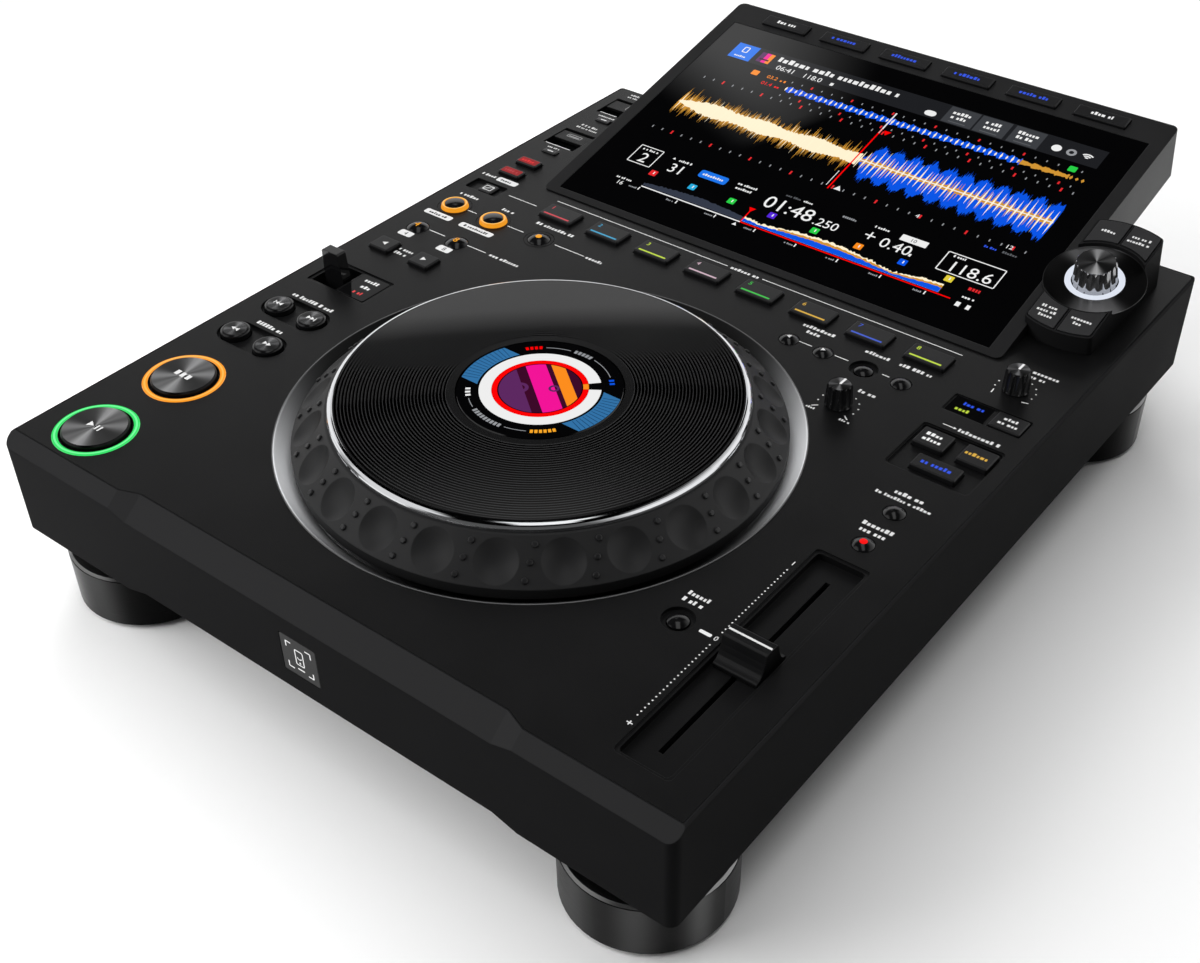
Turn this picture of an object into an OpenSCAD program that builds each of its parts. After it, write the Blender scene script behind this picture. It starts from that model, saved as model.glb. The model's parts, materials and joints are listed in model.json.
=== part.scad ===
/* [Case] */
// Width of the case
body_w = 329; // [300:1:420]
// Depth of the case, without the display's overhang
body_d = 399; // [395:1:500]
// Height of the case's side walls
wall_h = 45.7; // [40:0.1:60]
// Wall thickness of the case
wall_t = 3; // [2.4:0.1:4]
// Radius of the case's upright corners
corner_r = 4; // [3.5:0.1:8]
// Width of the case's rim around the deck panel
rim_w = 1.5; // [1:0.1:2]
// Slope of the bevel along the front edge
bevel_angle = 38; // [30:1:45]
// How far the bevel reaches back from the front wall
bevel_run = 6; // [5:0.1:8]
// How much deeper the bevel is along the middle of the front
bevel_step = 2.1; // [1:0.1:3]
// Half length of the deeper middle stretch
bevel_mid = 91; // [70:1:110]
// Length of the slope at each end of the middle stretch
bevel_blend = 9; // [6:1:14]
// How far the bottom edge rises along the middle of the front
arch_h = 3.2; // [1:0.1:5]

/* [Feet] */
// Diameter of a foot
foot_dia = 64; // [50:1:70]
// Height of a foot with its pad
foot_h = 26.4; // [20:0.1:35]
// Distance of a foot from the side of the case
foot_side_gap = 1.6; // [0:0.1:20]
// Distance of a foot from the front and the rear of the case
foot_end_gap = 0; // [0:0.1:30]
// Height of the base pan below the case's walls
pan_drop = 7.4; // [4:0.1:12]

/* [Deck] */
// Thickness of the deck panel
deck_t = 3; // [2.5:0.1:4]
// Gap around a key in its opening
key_gap = 0.3; // [0.2:0.05:0.5]
// Travel of a key
key_travel = 1; // [0.6:0.1:1.4]
// Thickness of the flange that keeps a key in
flange_t = 1; // [0.8:0.1:1.6]
// Width of the flange that keeps a key in
flange_w = 1; // [0.8:0.1:1.5]

/* [Jog wheel] */
// Distance of the jog wheel's axis from the front of the case
jog_row = 135; // [125:0.5:150]
// Radius of the rubber ring
jog_r = 98.3; // [80:0.1:103]
// Width of the ring's sloping side
slope_w = 14.3; // [12:0.1:20]
// Width of the chrome trim and its seat around the top plate
trim_w = 3.5; // [3:0.1:5]
// Gap between the ring and the rim of the well
well_gap = 7.4; // [5:0.1:10]
// Height of the jog wheel above the deck
jog_h = 17; // [12:0.1:24]
// Number of finger dimples
dimple_count = 24; // [12:1:30]
// Diameter of a finger dimple
dimple_dia = 17; // [10:0.1:18]
// Depth of a finger dimple
dimple_depth = 2.6; // [1:0.1:3]
// Radius of the display in the middle of the jog wheel
eye_r = 33; // [26:0.1:40]
// Radius of the fixed spindle
spindle_r = 15; // [10:0.1:20]
// Radial clearance of a running fit
run_gap = 0.05; // [0.03:0.01:0.1]

/* [Display] */
// Width of the display housing
disp_w = 248.8; // [230:0.1:260]
// Length of the display housing along its slope
disp_l = 174.5; // [160:0.1:190]
// Thickness of the display housing
disp_t = 26.4; // [22:0.1:34]
// Slope of the display
disp_tilt = 13; // [8:0.5:16]
// Distance of the display's front edge from the rear of the case
disp_set = 114.6; // [100:0.1:125]
// Height of the display's front edge above the deck
disp_lip = 0.6; // [0.4:0.1:2]
// Width of the glass
glass_w = 234.2; // [210:0.1:240]
// Length of the glass along the slope
glass_l = 152.9; // [140:0.1:155]
// Distance of the glass from the display's front edge
glass_inset = 4.3; // [3:0.1:6]
// Width of a menu key
menu_w = 26.4; // [20:0.1:30]
// Distance between menu keys
menu_pitch = 35.8; // [32:0.1:38]

/* [Browse pod] */
// Width of the browse pod
pod_w = 31; // [26:0.1:34]
// Radius of the pod's round ends
pod_r = 38; // [34:0.1:42]
// Radius of the pod's upright corners
pod_corner = 2.5; // [1.5:0.1:4]
// Height of the pod's face above the display's face
pod_rise = 3.5; // [2:0.1:6]
// Distance of the selector's axis from the display's front edge
pod_v = 60.3; // [50:0.1:80]
// Radius of the selector's dish
dish_r = 22; // [19:0.1:24]
// Depth of the selector's dish
dish_h = 2.2; // [1.5:0.1:2.6]
// Radius of the selector knob
selector_r = 9; // [8:0.1:11]
// Height of the selector knob
selector_h = 9; // [8:0.1:14]

/* [Controls] */
// Distance of the left control column from the left side
left_inset = 27; // [25:0.5:32]
// Distance of the right control column from the right side
right_inset = 26; // [25:0.5:32]
// Radius of the play and cue buttons
play_r = 13.4; // [11:0.1:15]
// Width of a light ring around a button
ring_w = 2.4; // [1.5:0.1:3]
// Width of a hot cue key
hot_w = 19; // [15:0.1:22]
// Depth of a hot cue key
hot_d = 11.2; // [9:0.1:13]
// Distance between hot cue keys
hot_pitch = 28.5; // [25:0.1:30]
// Length of the fader's slot
fader_slot = 99.5; // [60:0.5:110]
// Width of the fader's pit
fader_pit_w = 20; // [20:0.1:24]
// Depth of the fader's pit
fader_pit_h = 3.5; // [2.5:0.1:5]
// Height of the direction lever above the deck
lever_h = 13; // [8:0.1:16]

/* [Hidden] */
$fn = 96;
key_fn = 16;
min_r = 0.6;
eps = 0.01;
cut = 20;

// Heights: the floor is at 0
wall_z = foot_h + pan_drop;
deck_z = wall_z + wall_h;
// The display's rear corner sets the overall depth, and the origin is in the middle of it
disp_row = body_d - disp_set;
overall_d = disp_row + disp_l * cos(disp_tilt) + (disp_t - disp_lip) * sin(disp_tilt);
front_y = -overall_d / 2;
left_x = -body_w / 2;
right_x = body_w / 2;
left_col = left_x + left_inset;
right_col = right_x - right_inset;
flange_z = -deck_t - key_gap;

// Lower rows of controls, measured from the front of the case
play_row = 25.3;
cue_row = 69.7;
search_row = 106.5;
track_row = 131.7;
lever_row = 165.3;
fader_row = 76.9;
master_tempo_row = 148.7;
tempo_range_row = 170.9;

// Upper rows of controls, measured from the display's front edge
jump_row = disp_row - 87.4;
sync_row = disp_row - 72.4;
feel_row = disp_row - 67.4;
beat_loop_row = disp_row - 65.4;
loop_row = disp_row - 39.6;
mode_row = disp_row - 37.9;
hot_row = disp_row - 16.8;
call_row = disp_row - 16.2;
speed_row = disp_row - 14.9;
slip_row = disp_row + 1.5;
quantize_row = disp_row + 14.6;
usb_row = disp_row + 48.9;
usb_pitch = 44;
usb_stop_offset = 17.6;

// Columns
pair_pitch = 24.6;
pair_x = [left_col - 9.4, left_col - 9.4 + pair_pitch];
search_pitch = 20;
exit_x = left_col + 43.5;
switch_x = left_col - 8.5;
call_xs = [45.3, 62.2];
delete_x = 82.2;
memory_x = 100;
feel_x = right_col - 51.5;
reset_x = right_col - 29;
fader_x = right_col + 0.5;

// Key and button sizes
jump_size = [11.5, 10];
lit_size = [12.8, 6.4];
call_size = [8, 7.5];
stop_size = [8.6, 3.6];
mode_size = [13.6, 10.8];
sync_size = [13.3, 11.5];
key_sync_size = [19.5, 8.6];
menu_d = 7.6;
rocker_size = [18, 11.8];
rocker_gap = [0.6, 1.8];
rocker_frame = rocker_size + rocker_gap + [3, 3];
rocker_pin_z = -3;
rocker_angle = 10;
ring_gap = 1.2;
guide_h = 1.8;
guide_rise = 0.3;
skirt_seat = 0.9;
play_h = 1.8;
play_edge = 0.7;
search_r = 6.5;
search_h = 1.5;
search_round = 1.2;
dome_r = 4.3;
dome_h = 1.7;
loop_r = 4.8;
loop_h = 0.6;
loop_skirt_r = [6.7, 6.2];
loop_skirt_h = 1.8;
big_dome_r = 5.3;
big_dome_h = 1.9;
reset_r = 4;
reset_pocket_r = 6.2;
groove_w = 0.3;
groove_h = 0.4;
hot_h = 1.9;
mode_h = 0.6;
sync_h = 1;
stop_h = 0.9;
knob_h = 8.4;
knob_r = [5.7, 4.9];
knob_shaft_r = 3;
knob_flutes = 10;
knob_flute_r = 1.1;
knob_foot = [0.4, 1.2];
knob_hollow = 0.3;

// Pockets in the deck
pocket_h = 1.5;
sync_pocket = [35, 31];
mode_pocket = [34.6, 13];
mode_split = 18.8;
call_pocket = [19.6, 10.2];
pill_r = 8;
pocket_r = 2;
step_w = 1.3;
step_h = 0.6;
fader_pit_l = fader_slot + 18.5;
fader_stem_w = 1.4;
fader_cap = [17.8, 17.4];
fader_cap_h = 8;
fader_ridge = 3.2;
fader_lip_h = -1.2;
fader_foot_gap = 0.4;
// Section of one side of the cap: its foot, a lip, a scooped slope and the ridge
lip_x = fader_cap[1] / 2 - 0.5;
ridge_foot = [fader_ridge, fader_cap_h - 0.6];
fader_side = concat(
    [[fader_cap[1] / 2, -fader_pit_h + fader_foot_gap], [fader_cap[1] / 2, fader_lip_h - 0.6]],
    [for (i = [0 : 6]) let (t = i / 6) [lip_x - (lip_x - ridge_foot[0] - 0.2) * t,
        fader_lip_h + (ridge_foot[1] - 0.1 - fader_lip_h) * pow(t, 2.4)]],
    [ridge_foot, [fader_ridge - 0.6, fader_cap_h]]);
rail_r = 1.5;
rail_gap = 9;
rail_h = 12;
rail_len = fader_slot + 26;
carriage_l = 12;
carriage_h = 6;
lever_pocket = [35.6, 20];
lever_slot = [15, 17.2];
lever_pit_h = 13;
lever_pivot_h = 8;
lever_pin_r = 1.5;
lever_size = [10.5, 5];
lever_x = left_col - 8.5;
window_x = left_col + 8.2;
window_size = [16, 18];
mode_window = [17.8, 12];
pan_t = 1.5;
pit_left = left_x + 7.5;
pit_w = [19.3, 29];
pit_d = 18.2;
pit_h = 9;
finger_d = 7;
finger_edge = 1;
shell_w = [13.2, 25.6];
shell_d = [5.8, 4];
shell_wall = 0.6;
shell_top = 3.4;
lid_t = 1.6;
lid_sink = 0.3;
lid_pin_r = 0.8;
lid_barrel_r = 1.3;
lid_back = 1.2;
lid_rib = 1;
lid_under = 0.1;
lid_y0 = -pit_d / 2 + finger_d;
lid_pin_y = pit_d / 2 - lid_back - lid_barrel_r;
lid_pin_z = -lid_sink - lid_barrel_r;
mode_window_x = right_col - mode_pocket[0] / 2 + mode_split / 2 + 0.3;
mode_key_x = right_col + mode_pocket[0] / 2 - mode_size[0] / 2 - 0.8;
tag_size = 18.5;
tag_z = wall_z + 21;

// Case seams and inner ledge
front_rim = 0.5;
rim_chamfer = 0.7;
bevel_in = bevel_step / sin(bevel_angle);
seam = 0.15;
shelf_row = bevel_run + front_rim + 1.5;
ledge_w = 5;
ledge_h = 3;
ledge_z = wall_z + 4;
pan_in = 9;
pan_wall = 1.6;
vent_count = 10;
vent_size = [2.5, 40];
vent_pitch = 7;
vent_x = 75;
vent_y = 60;
board_z = foot_h + 12;
board_t = 1.6;
board_size = [220, 300];
foot_pad_h = 2;
foot_pad_in = 3;

// Jog wheel section
plate_r = jog_r - slope_w - trim_w;
well_r = jog_r + well_gap;
slope_top = [plate_r + trim_w, jog_h - 3.6];
slope_foot = [jog_r, 0.2];
slope_tilt = atan2(slope_top[1] - slope_foot[1], slope_foot[0] - slope_top[0]);
slope_normal = [sin(slope_tilt), cos(slope_tilt)];
dimple_ball = (pow(dimple_dia / 2, 2) + pow(dimple_depth, 2)) / (2 * dimple_depth);
well_h = 8.5;
well_floor = 1.5;
hub_r = spindle_r + 6;
well_lip = 0.9;
ring_skirt = 5;
ring_wall = 4.5;
plate_t = 2.6;
seat_z = jog_h - 4.4;
eye_z = jog_h - 5;
web_z = jog_h - 9;
shoulder_z = -well_h + 1.5;

// Menu and pod frames
menu_v = glass_inset + glass_l + 8.4;
menu_h = 1.5;
glass_t = 5;
glass_sink = 0.15;
pod_x = disp_w / 2 - 2.5 + pod_w / 2;
pod_key_h = 0.5;
pod_key_gap = 0.35;
pod_key_pit = 3.2;
pod_key_foot = pod_key_pit - key_travel - 0.3;
pod_frame = 0.9;
pod_h = 40;
selector_ring_r = selector_r + 3.7;
selector_ring_w = 2.6;
selector_ring_h = -1.3;
selector_foot = -2.3;
selector_shaft_r = 3.5;
selector_flutes = 12;
selector_flute_r = 1.9;
selector_hollow = 0.4;

// Rear sockets, from the middle of the rear wall
socket_z = wall_z + 20;
inlet_x = -112;
power_x = -78;
jack_xs = [54, 74, 98];
lan_x = 22;
usb_b_x = -8;
jack_r = 4.15;
jack_l = 8;
jack_wall = 2;
jack_bore_r = 1.7;
inlet_size = [28, 20];
lan_size = [16, 13.6];
usb_b_size = [12, 11];
rocker_pin_r = 1.5;

// ---- Frames ----
module at_deck(x, row, h = 0) translate([x, front_y + row, deck_z + h]) children();
module on_display() translate([0, front_y + disp_row, deck_z]) rotate([disp_tilt, 0, 0])
    translate([0, 0, disp_lip]) children();
module on_pod() on_display() translate([pod_x, pod_v, pod_rise]) children();
module on_jog() at_deck(0, jog_row) children();

// ---- Shared shapes ----
module rounded_rect(w, d, r) {
    square([w, d - 2 * r], center = true);
    square([w - 2 * r, d], center = true);
    for (sx = [-1, 1], sy = [-1, 1])
        translate([sx * (w / 2 - r), sy * (d / 2 - r)]) circle(r, $fn = 32);
}
module box(size, z0, z1) translate([-size[0] / 2, -size[1] / 2, z0]) cube([size[0], size[1], z1 - z0]);
module pocket(size, depth, r = pocket_r)
    translate([0, 0, -depth]) linear_extrude(depth + cut) rounded_rect(size[0], size[1], r);
module tube(r_out, r_in, z0, z1) difference() {
    translate([0, 0, z0]) cylinder(r = r_out, h = z1 - z0);
    translate([0, 0, z0 - eps]) cylinder(r = r_in, h = z1 - z0 + 2 * eps);
}
function arc(cx, cy, r, a0, a1, n) = [for (i = [0 : n]) let (a = a0 + (a1 - a0) * i / n)
    [cx + r * cos(a), cy + r * sin(a)]];

// A key: chamfered cap above, straight body through the opening, flange below
module key(size, top, r = 0.7, chamfer = 0.5) {
    w = size[0] / 2 - r;
    d = size[1] / 2 - r;
    hull() for (sx = [-1, 1], sy = [-1, 1]) translate([sx * w, sy * d, 0]) {
        translate([0, 0, flange_z]) cylinder(r = r, h = top - chamfer - flange_z, $fn = key_fn);
        translate([0, 0, top - eps]) cylinder(r = r - chamfer, h = eps, $fn = key_fn);
    }
    box(size + [2 * flange_w, 2 * flange_w], flange_z - flange_t, flange_z);
}
module key_opening(size) box(size + [2 * key_gap, 2 * key_gap], -cut, cut);

// A round button: the section of its top is given, the stem and flange follow
module round_button(r, top_points) {
    flange_r = r + flange_w;
    rotate_extrude() polygon(concat(
        [[0, flange_z - flange_t], [flange_r, flange_z - flange_t], [flange_r, flange_z], [r, flange_z]],
        top_points));
}
module button_opening(r) translate([0, 0, -cut]) cylinder(r = r + key_gap, h = 2 * cut);
function dome_points(r, base, height) = let (ball = (r * r + height * height) / (2 * height))
    concat([[r, base]], [for (i = [1 : 8]) let (a = asin(r / ball) * (1 - i / 8))
        [ball * sin(a), base + height - ball + ball * cos(a)]]);
function flat_points(r, top, edge) = [[r, top - edge], [r - edge, top], [0, top]];
function rounded_points(r, top, edge) = concat(arc(r - edge, top - edge, edge, 0, 90, 6), [[0, top]]);

// ---- Case ----
module case_outline(inset)
    translate([0, front_y + body_d / 2])
        rounded_rect(body_w - 2 * inset, body_d - 2 * inset, max(corner_r - inset, min_r));

// Plan of the deck panel: its front edge follows the bevel's top edge
function front_line(row) = [
    [-body_w, row], [-bevel_mid - bevel_blend, row], [-bevel_mid, row + bevel_in],
    [bevel_mid, row + bevel_in], [bevel_mid + bevel_blend, row], [body_w, row]];
module behind(row) polygon(concat(front_line(row), [[body_w, 2 * body_d], [-body_w, 2 * body_d]]));
module panel_plan(gap) intersection() {
    case_outline(rim_w + gap);
    translate([0, front_y])
        behind(bevel_run + front_rim + gap);
}

module bevel_cutter()
    translate([0, front_y + bevel_run, deck_z]) rotate([bevel_angle, 0, 0]) translate([0, cut, 0])
        rotate([90, 0, 0]) linear_extrude(4 * cut) polygon([
            [-body_w, 0], [-bevel_mid - bevel_blend, 0], [-bevel_mid, -bevel_step],
            [bevel_mid, -bevel_step], [bevel_mid + bevel_blend, 0], [body_w, 0],
            [body_w, cut], [-body_w, cut]]);

// Chamfer along the top of the side walls and the rear wall
module rim_cutter() translate([0, front_y + body_d / 2, deck_z]) {
    side = rim_chamfer * sqrt(2);
    for (s = [-1, 1]) translate([s * body_w / 2, 0, 0]) rotate([0, 45, 0])
        cube([side, 2 * body_d, side], center = true);
    translate([0, body_d / 2, 0]) rotate([45, 0, 0]) cube([2 * body_w, side, side], center = true);
}

module outer_case() color([0.12, 0.12, 0.13]) difference() {
    union() {
        difference() {
            translate([0, 0, wall_z]) linear_extrude(wall_h) case_outline(0);
            translate([0, 0, wall_z - cut]) linear_extrude(wall_h + cut - deck_t - 6) case_outline(wall_t);
            intersection() {
                translate([0, 0, wall_z]) linear_extrude(wall_h + cut) case_outline(wall_t);
                translate([0, front_y, wall_z]) linear_extrude(wall_h + cut) behind(shelf_row);
            }
        }
        translate([0, 0, ledge_z]) linear_extrude(ledge_h) difference() {
            case_outline(wall_t - eps);
            case_outline(wall_t + ledge_w);
        }
    }
    translate([0, 0, deck_z - deck_t]) linear_extrude(cut) panel_plan(0);
    bevel_cutter();
    rim_cutter();
    translate([0, front_y + wall_t + 1, wall_z]) rotate([90, 0, 0]) linear_extrude(cut)
        polygon([[-bevel_mid - bevel_blend, -cut], [-bevel_mid - bevel_blend, 0], [-bevel_mid + 2, arch_h],
            [bevel_mid - 2, arch_h], [bevel_mid + bevel_blend, 0], [bevel_mid + bevel_blend, -cut]]);
    translate([0, front_y, tag_z]) rotate([90, 0, 0]) pocket([tag_size, tag_size], 1, 1);
    rear_openings();
}

// ---- Deck ----
module deck_panel() color([0.16, 0.16, 0.17]) difference() {
    union() {
        translate([0, 0, deck_z - deck_t]) linear_extrude(deck_t) panel_plan(seam);
        at_deck(fader_x, fader_row) box([fader_pit_w + 2 * pan_t, fader_pit_l + 2 * pan_t],
            -fader_pit_h - pan_t, -deck_t + eps);
        at_deck(lever_x, lever_row) box([lever_slot[0] + 4 * pan_t, lever_slot[1] + 2 * pan_t],
            -lever_pit_h, -deck_t + eps);
        for (i = [0, 1]) at_pit(i)
            box([pit_w[i] + 2 * pan_t, pit_d + 2 * pan_t], -pit_h - pan_t, -deck_t + eps);
    }
    on_jog() translate([0, 0, -cut]) cylinder(r = well_r + eps, h = 2 * cut, $fn = 180);
    // Transport buttons and their light rings
    for (row = [play_row, cue_row]) at_deck(left_col, row) {
        button_opening(play_r);
        round_pocket(play_r + ring_gap + ring_w, guide_h);
    }
    // Search pairs in their pill-shaped pockets
    for (row = [search_row, track_row]) at_deck(left_col, row) {
        pocket([search_pitch + 2 * pill_r, 2 * pill_r], pocket_h, pill_r - 0.01);
        for (s = [-1, 1]) translate([s * search_pitch / 2, 0, 0]) button_opening(search_r);
    }
    // Direction lever and its window
    at_deck(left_col, lever_row) pocket(lever_pocket, step_h, 1);
    at_deck(lever_x, lever_row) {
        box(lever_slot, -lever_pit_h - cut, cut);
        translate([0, 0, -lever_pivot_h]) rotate([0, 90, 0])
            cylinder(r = lever_pin_r + run_gap, h = lever_slot[0] + 3 * pan_t, center = true);
    }
    at_deck(window_x, lever_row) box(window_size, -step_h - 1, cut);
    // Keys on the left
    for (x = pair_x) at_deck(x, jump_row) key_opening(jump_size);
    for (x = pair_x) at_deck(x, beat_loop_row) button_opening(big_dome_r);
    for (x = pair_x) at_deck(x, loop_row) {
        button_opening(loop_r);
        round_pocket(loop_skirt_r[0] + seam, skirt_seat);
        ring_groove(loop_skirt_r[0] + 1.6);
    }
    at_deck(exit_x, loop_row) {
        button_opening(big_dome_r);
        ring_groove(big_dome_r + 1.9);
    }
    at_deck(switch_x - 1.3, call_row) pocket(call_pocket, pocket_h, 1);
    at_deck(switch_x, call_row) key_opening(call_size);
    for (row = [slip_row, quantize_row]) at_deck(switch_x, row) key_opening(lit_size);
    for (i = [0, 1]) at_pit(i) pit_cut(i);
    for (i = [0, 1]) at_deck(switch_x, usb_row - usb_stop_offset + i * usb_pitch) key_opening(stop_size);
    // Hot cues and memory row
    for (i = [0 : 7]) at_deck(hot_x(i), hot_row) key_opening([hot_w, hot_d]);
    for (x = concat(call_xs, [memory_x])) at_deck(x, loop_row) button_opening(dome_r);
    at_deck(delete_x, loop_row) {
        button_opening(reset_r);
        round_pocket(reset_pocket_r, pocket_h);
    }
    // Right column
    for (k = knob_places()) at_deck(k[0], k[1]) translate([0, 0, -cut])
        cylinder(r = knob_shaft_r + run_gap, h = 2 * cut);
    at_deck(right_col, mode_row) pocket(mode_pocket, step_h, 1);
    at_deck(mode_window_x, mode_row) box(mode_window, -step_h - 1, cut);
    at_deck(mode_key_x, mode_row) key_opening(mode_size);
    at_deck(right_col, sync_row) {
        pocket(sync_pocket + [step_w, step_w], step_h);
        pocket(sync_pocket, pocket_h);
        for (k = sync_keys()) translate([k[0], k[1], 0]) key_opening(k[2]);
    }
    for (row = [tempo_range_row, master_tempo_row]) at_deck(right_col + 1.3, row) button_opening(dome_r);
    at_deck(reset_x, fader_row) {
        button_opening(reset_r);
        round_pocket(reset_pocket_r, pocket_h);
    }
    at_deck(fader_x, fader_row) {
        pocket([fader_pit_w + 2 * step_w, fader_pit_l + 2 * step_w], step_h);
        pocket([fader_pit_w, fader_pit_l], fader_pit_h);
        box([fader_stem_w + 2 * key_gap, fader_slot], -cut, cut);
    }
}
module round_pocket(r, depth) translate([0, 0, -depth]) cylinder(r = r, h = cut);
module ring_groove(r) tube(r + groove_w / 2, r - groove_w / 2, -groove_h, cut);
function hot_x(i) = 0.5 + hot_pitch * (i - 3.5);
function knob_places() = [[feel_x, feel_row], [right_col + 0.8, speed_row]];
function sync_keys() = [[-9, 7, sync_size], [10.2, 7, sync_size], [0.7, -8.2, key_sync_size]];

// A pit under a hinged lid: finger recess in front, socket below the lid
module at_pit(i) at_deck(pit_left + pit_w[i] / 2, usb_row + i * usb_pitch) children();
module pit_cut(i) {
    box([pit_w[i], pit_d], -lid_sink - lid_t - lid_under, cut);
    translate([0, finger_d / 2 - eps, 0]) box([pit_w[i] - 2 * lid_rib, pit_d - finger_d], -pit_h, 0);
    // Finger recess with a sloping front edge
    front = -pit_d / 2;
    translate([-pit_w[i] / 2, 0, 0]) rotate([90, 0, 90]) linear_extrude(pit_w[i]) polygon([
        [front, -pit_h], [front + finger_d, -pit_h], [front + finger_d, cut],
        [front - finger_edge - cut, cut], [front, -finger_edge]]);
    translate([0, lid_pin_y, lid_pin_z]) {
        rotate([0, 90, 0]) cylinder(r = lid_pin_r + run_gap, h = pit_w[i] + 2 * pan_t - 0.6, center = true);
        rotate([0, 90, 0]) cylinder(r = lid_barrel_r + key_gap, h = pit_w[i], center = true);
    }
    at_socket(i) box([shell_w[i] + 2 * seam, shell_d[i] + 2 * seam], -pit_h - cut, 0);
}
module at_socket(i) translate([0, (lid_y0 + lid_pin_y - lid_barrel_r) / 2, 0]) children();
module pit_lid(i) color([0.14, 0.14, 0.15]) at_pit(i) {
    w = pit_w[i] - 2 * key_gap;
    difference() {
        union() {
            translate([-w / 2, lid_y0 + key_gap, -lid_sink - lid_t])
                cube([w, lid_pin_y - lid_y0 - key_gap, lid_t]);
            translate([0, lid_pin_y, lid_pin_z]) rotate([0, 90, 0])
                cylinder(r = lid_barrel_r, h = w, center = true);
        }
        // Finger bevel along the front edge
        translate([-w, lid_y0 + key_gap, -lid_sink - lid_t]) rotate([45, 0, 0]) translate([0, -0.8, -2])
            cube([2 * w, 1.6, 2]);
    }
    translate([0, lid_pin_y, lid_pin_z]) rotate([0, 90, 0])
        cylinder(r = lid_pin_r, h = pit_w[i] + 2 * pan_t - 1, center = true);
}

// ---- Base ----
module base_pan() color([0.1, 0.1, 0.1]) {
    difference() {
        union() {
            translate([0, 0, foot_h]) linear_extrude(ledge_z - foot_h) pan_plan(pan_in);
            translate([0, 0, ledge_z - pan_wall]) linear_extrude(pan_wall) pan_plan(wall_t + 0.3);
        }
        translate([0, 0, foot_h + pan_wall]) linear_extrude(wall_h) pan_plan(pan_in + pan_wall);
        // Vent slots
        for (s = [-1, 1], i = [0 : vent_count - 1])
            translate([s * vent_x + (i - (vent_count - 1) / 2) * vent_pitch,
                front_y + body_d / 2 + vent_y, 0]) box(vent_size, foot_h - eps, foot_h + pan_wall + eps);
    }
}
module pan_plan(inset) translate([0, front_y + body_d / 2])
    rounded_rect(body_w - 2 * inset, body_d - 2 * inset, 3);

module feet() for (sx = [-1, 1], sy = [-1, 1])
    translate([sx * (body_w / 2 - foot_side_gap - foot_dia / 2),
        front_y + body_d / 2 + sy * (body_d / 2 - foot_end_gap - foot_dia / 2), 0]) foot();
module foot() {
    r = foot_dia / 2;
    color([0.25, 0.25, 0.26]) rotate_extrude($fn = 128) polygon([
        [0, foot_pad_h], [r - 0.4, foot_pad_h], [r, foot_pad_h + 0.4], [r, foot_h - 1.2],
        [r - 1.2, foot_h], [0, foot_h]]);
    color([0.05, 0.05, 0.05]) tube(r - foot_pad_in, r - 4 * foot_pad_in, 0, foot_pad_h);
}

// ---- Jog wheel ----
module jog_well() {
    // Bright cone around the wheel, with its floor
    color([0.75, 0.75, 0.77]) on_jog() rotate_extrude($fn = 180) polygon([
        [spindle_r + 4, -well_h - well_floor], [well_r - 6, -well_h - well_floor],
        [well_r + 3, -deck_t - 1.5], [well_r + 3, -deck_t], [well_r, -deck_t], [well_r, 0.25],
        [well_r - well_lip, 0.25], [well_r - well_lip - 0.3, 0],
        [well_r - well_lip - well_h + 0.3, -well_h], [spindle_r + 4, -well_h]]);
    // Spindle that the wheel turns on and that carries the fixed display
    color([0.6, 0.6, 0.62]) on_jog() rotate_extrude() polygon([
        [0, -well_h - 6], [hub_r + 6, -well_h - 6], [hub_r + 6, -well_h - well_floor],
        [spindle_r + 4, -well_h - well_floor], [spindle_r + 4, shoulder_z], [spindle_r, shoulder_z],
        [spindle_r, eye_z], [0, eye_z]]);
}

module centre_display() color([0.05, 0.05, 0.06]) on_jog() rotate_extrude($fn = 128) polygon([
    [0, eye_z], [spindle_r + 8, eye_z], [eye_r - 3, eye_z + 1], [eye_r, jog_h - 2.4],
    [eye_r, jog_h - 0.5], [eye_r - 0.5, jog_h], [0, jog_h]]);

module jog_ring() color([0.12, 0.12, 0.12]) on_jog() difference() {
    rotate_extrude($fn = 180) polygon([
        slope_foot - ring_wall * slope_normal, [jog_r - 3.5, -ring_skirt], [jog_r - 0.8, -ring_skirt],
        [jog_r, -ring_skirt + 1], slope_foot, slope_top, [slope_top[0] - 1.2, slope_top[1] + 0.2],
        [plate_r + 1.1, seat_z], [plate_r - 6, seat_z], [plate_r - 6, seat_z - 2.5],
        slope_top - ring_wall * slope_normal]);
    for (i = [0 : dimple_count - 1]) rotate([0, 0, i * 360 / dimple_count])
        translate([(slope_top[0] + slope_foot[0]) / 2, 0, (slope_top[1] + slope_foot[1]) / 2])
            rotate([0, slope_tilt - 90, 0]) translate([dimple_ball - dimple_depth, 0, 0])
                sphere(r = dimple_ball, $fn = 48);
}

module jog_plate() {
    // Top plate with its hub
    color([0.08, 0.08, 0.08]) on_jog() rotate_extrude($fn = 180) polygon([
        [spindle_r + run_gap, shoulder_z + 0.3], [hub_r, shoulder_z + 0.3], [hub_r, web_z],
        [eye_r + 1, web_z], [eye_r + 5, seat_z], [plate_r - 0.1, seat_z], [plate_r - 0.1, jog_h - 0.2],
        [plate_r - 0.3, jog_h], [eye_r + key_gap, jog_h], [eye_r + key_gap, jog_h - plate_t],
        [eye_r - 2.6, eye_z + 0.4], [spindle_r + 8.4, eye_z - 0.5], [spindle_r + run_gap, eye_z - 0.5]]);
    // Chrome trim around the plate
    color([0.85, 0.85, 0.87]) on_jog() rotate_extrude($fn = 180) polygon(concat(
        [[plate_r - 0.1, seat_z], [plate_r + 1.1, seat_z], [slope_top[0] - 1.2, slope_top[1] + 0.2]],
        arc(plate_r - 0.1, jog_h - 2.9, 2.7, -5, 85, 8), [[plate_r - 0.1, jog_h - 0.3]]));
}

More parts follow.
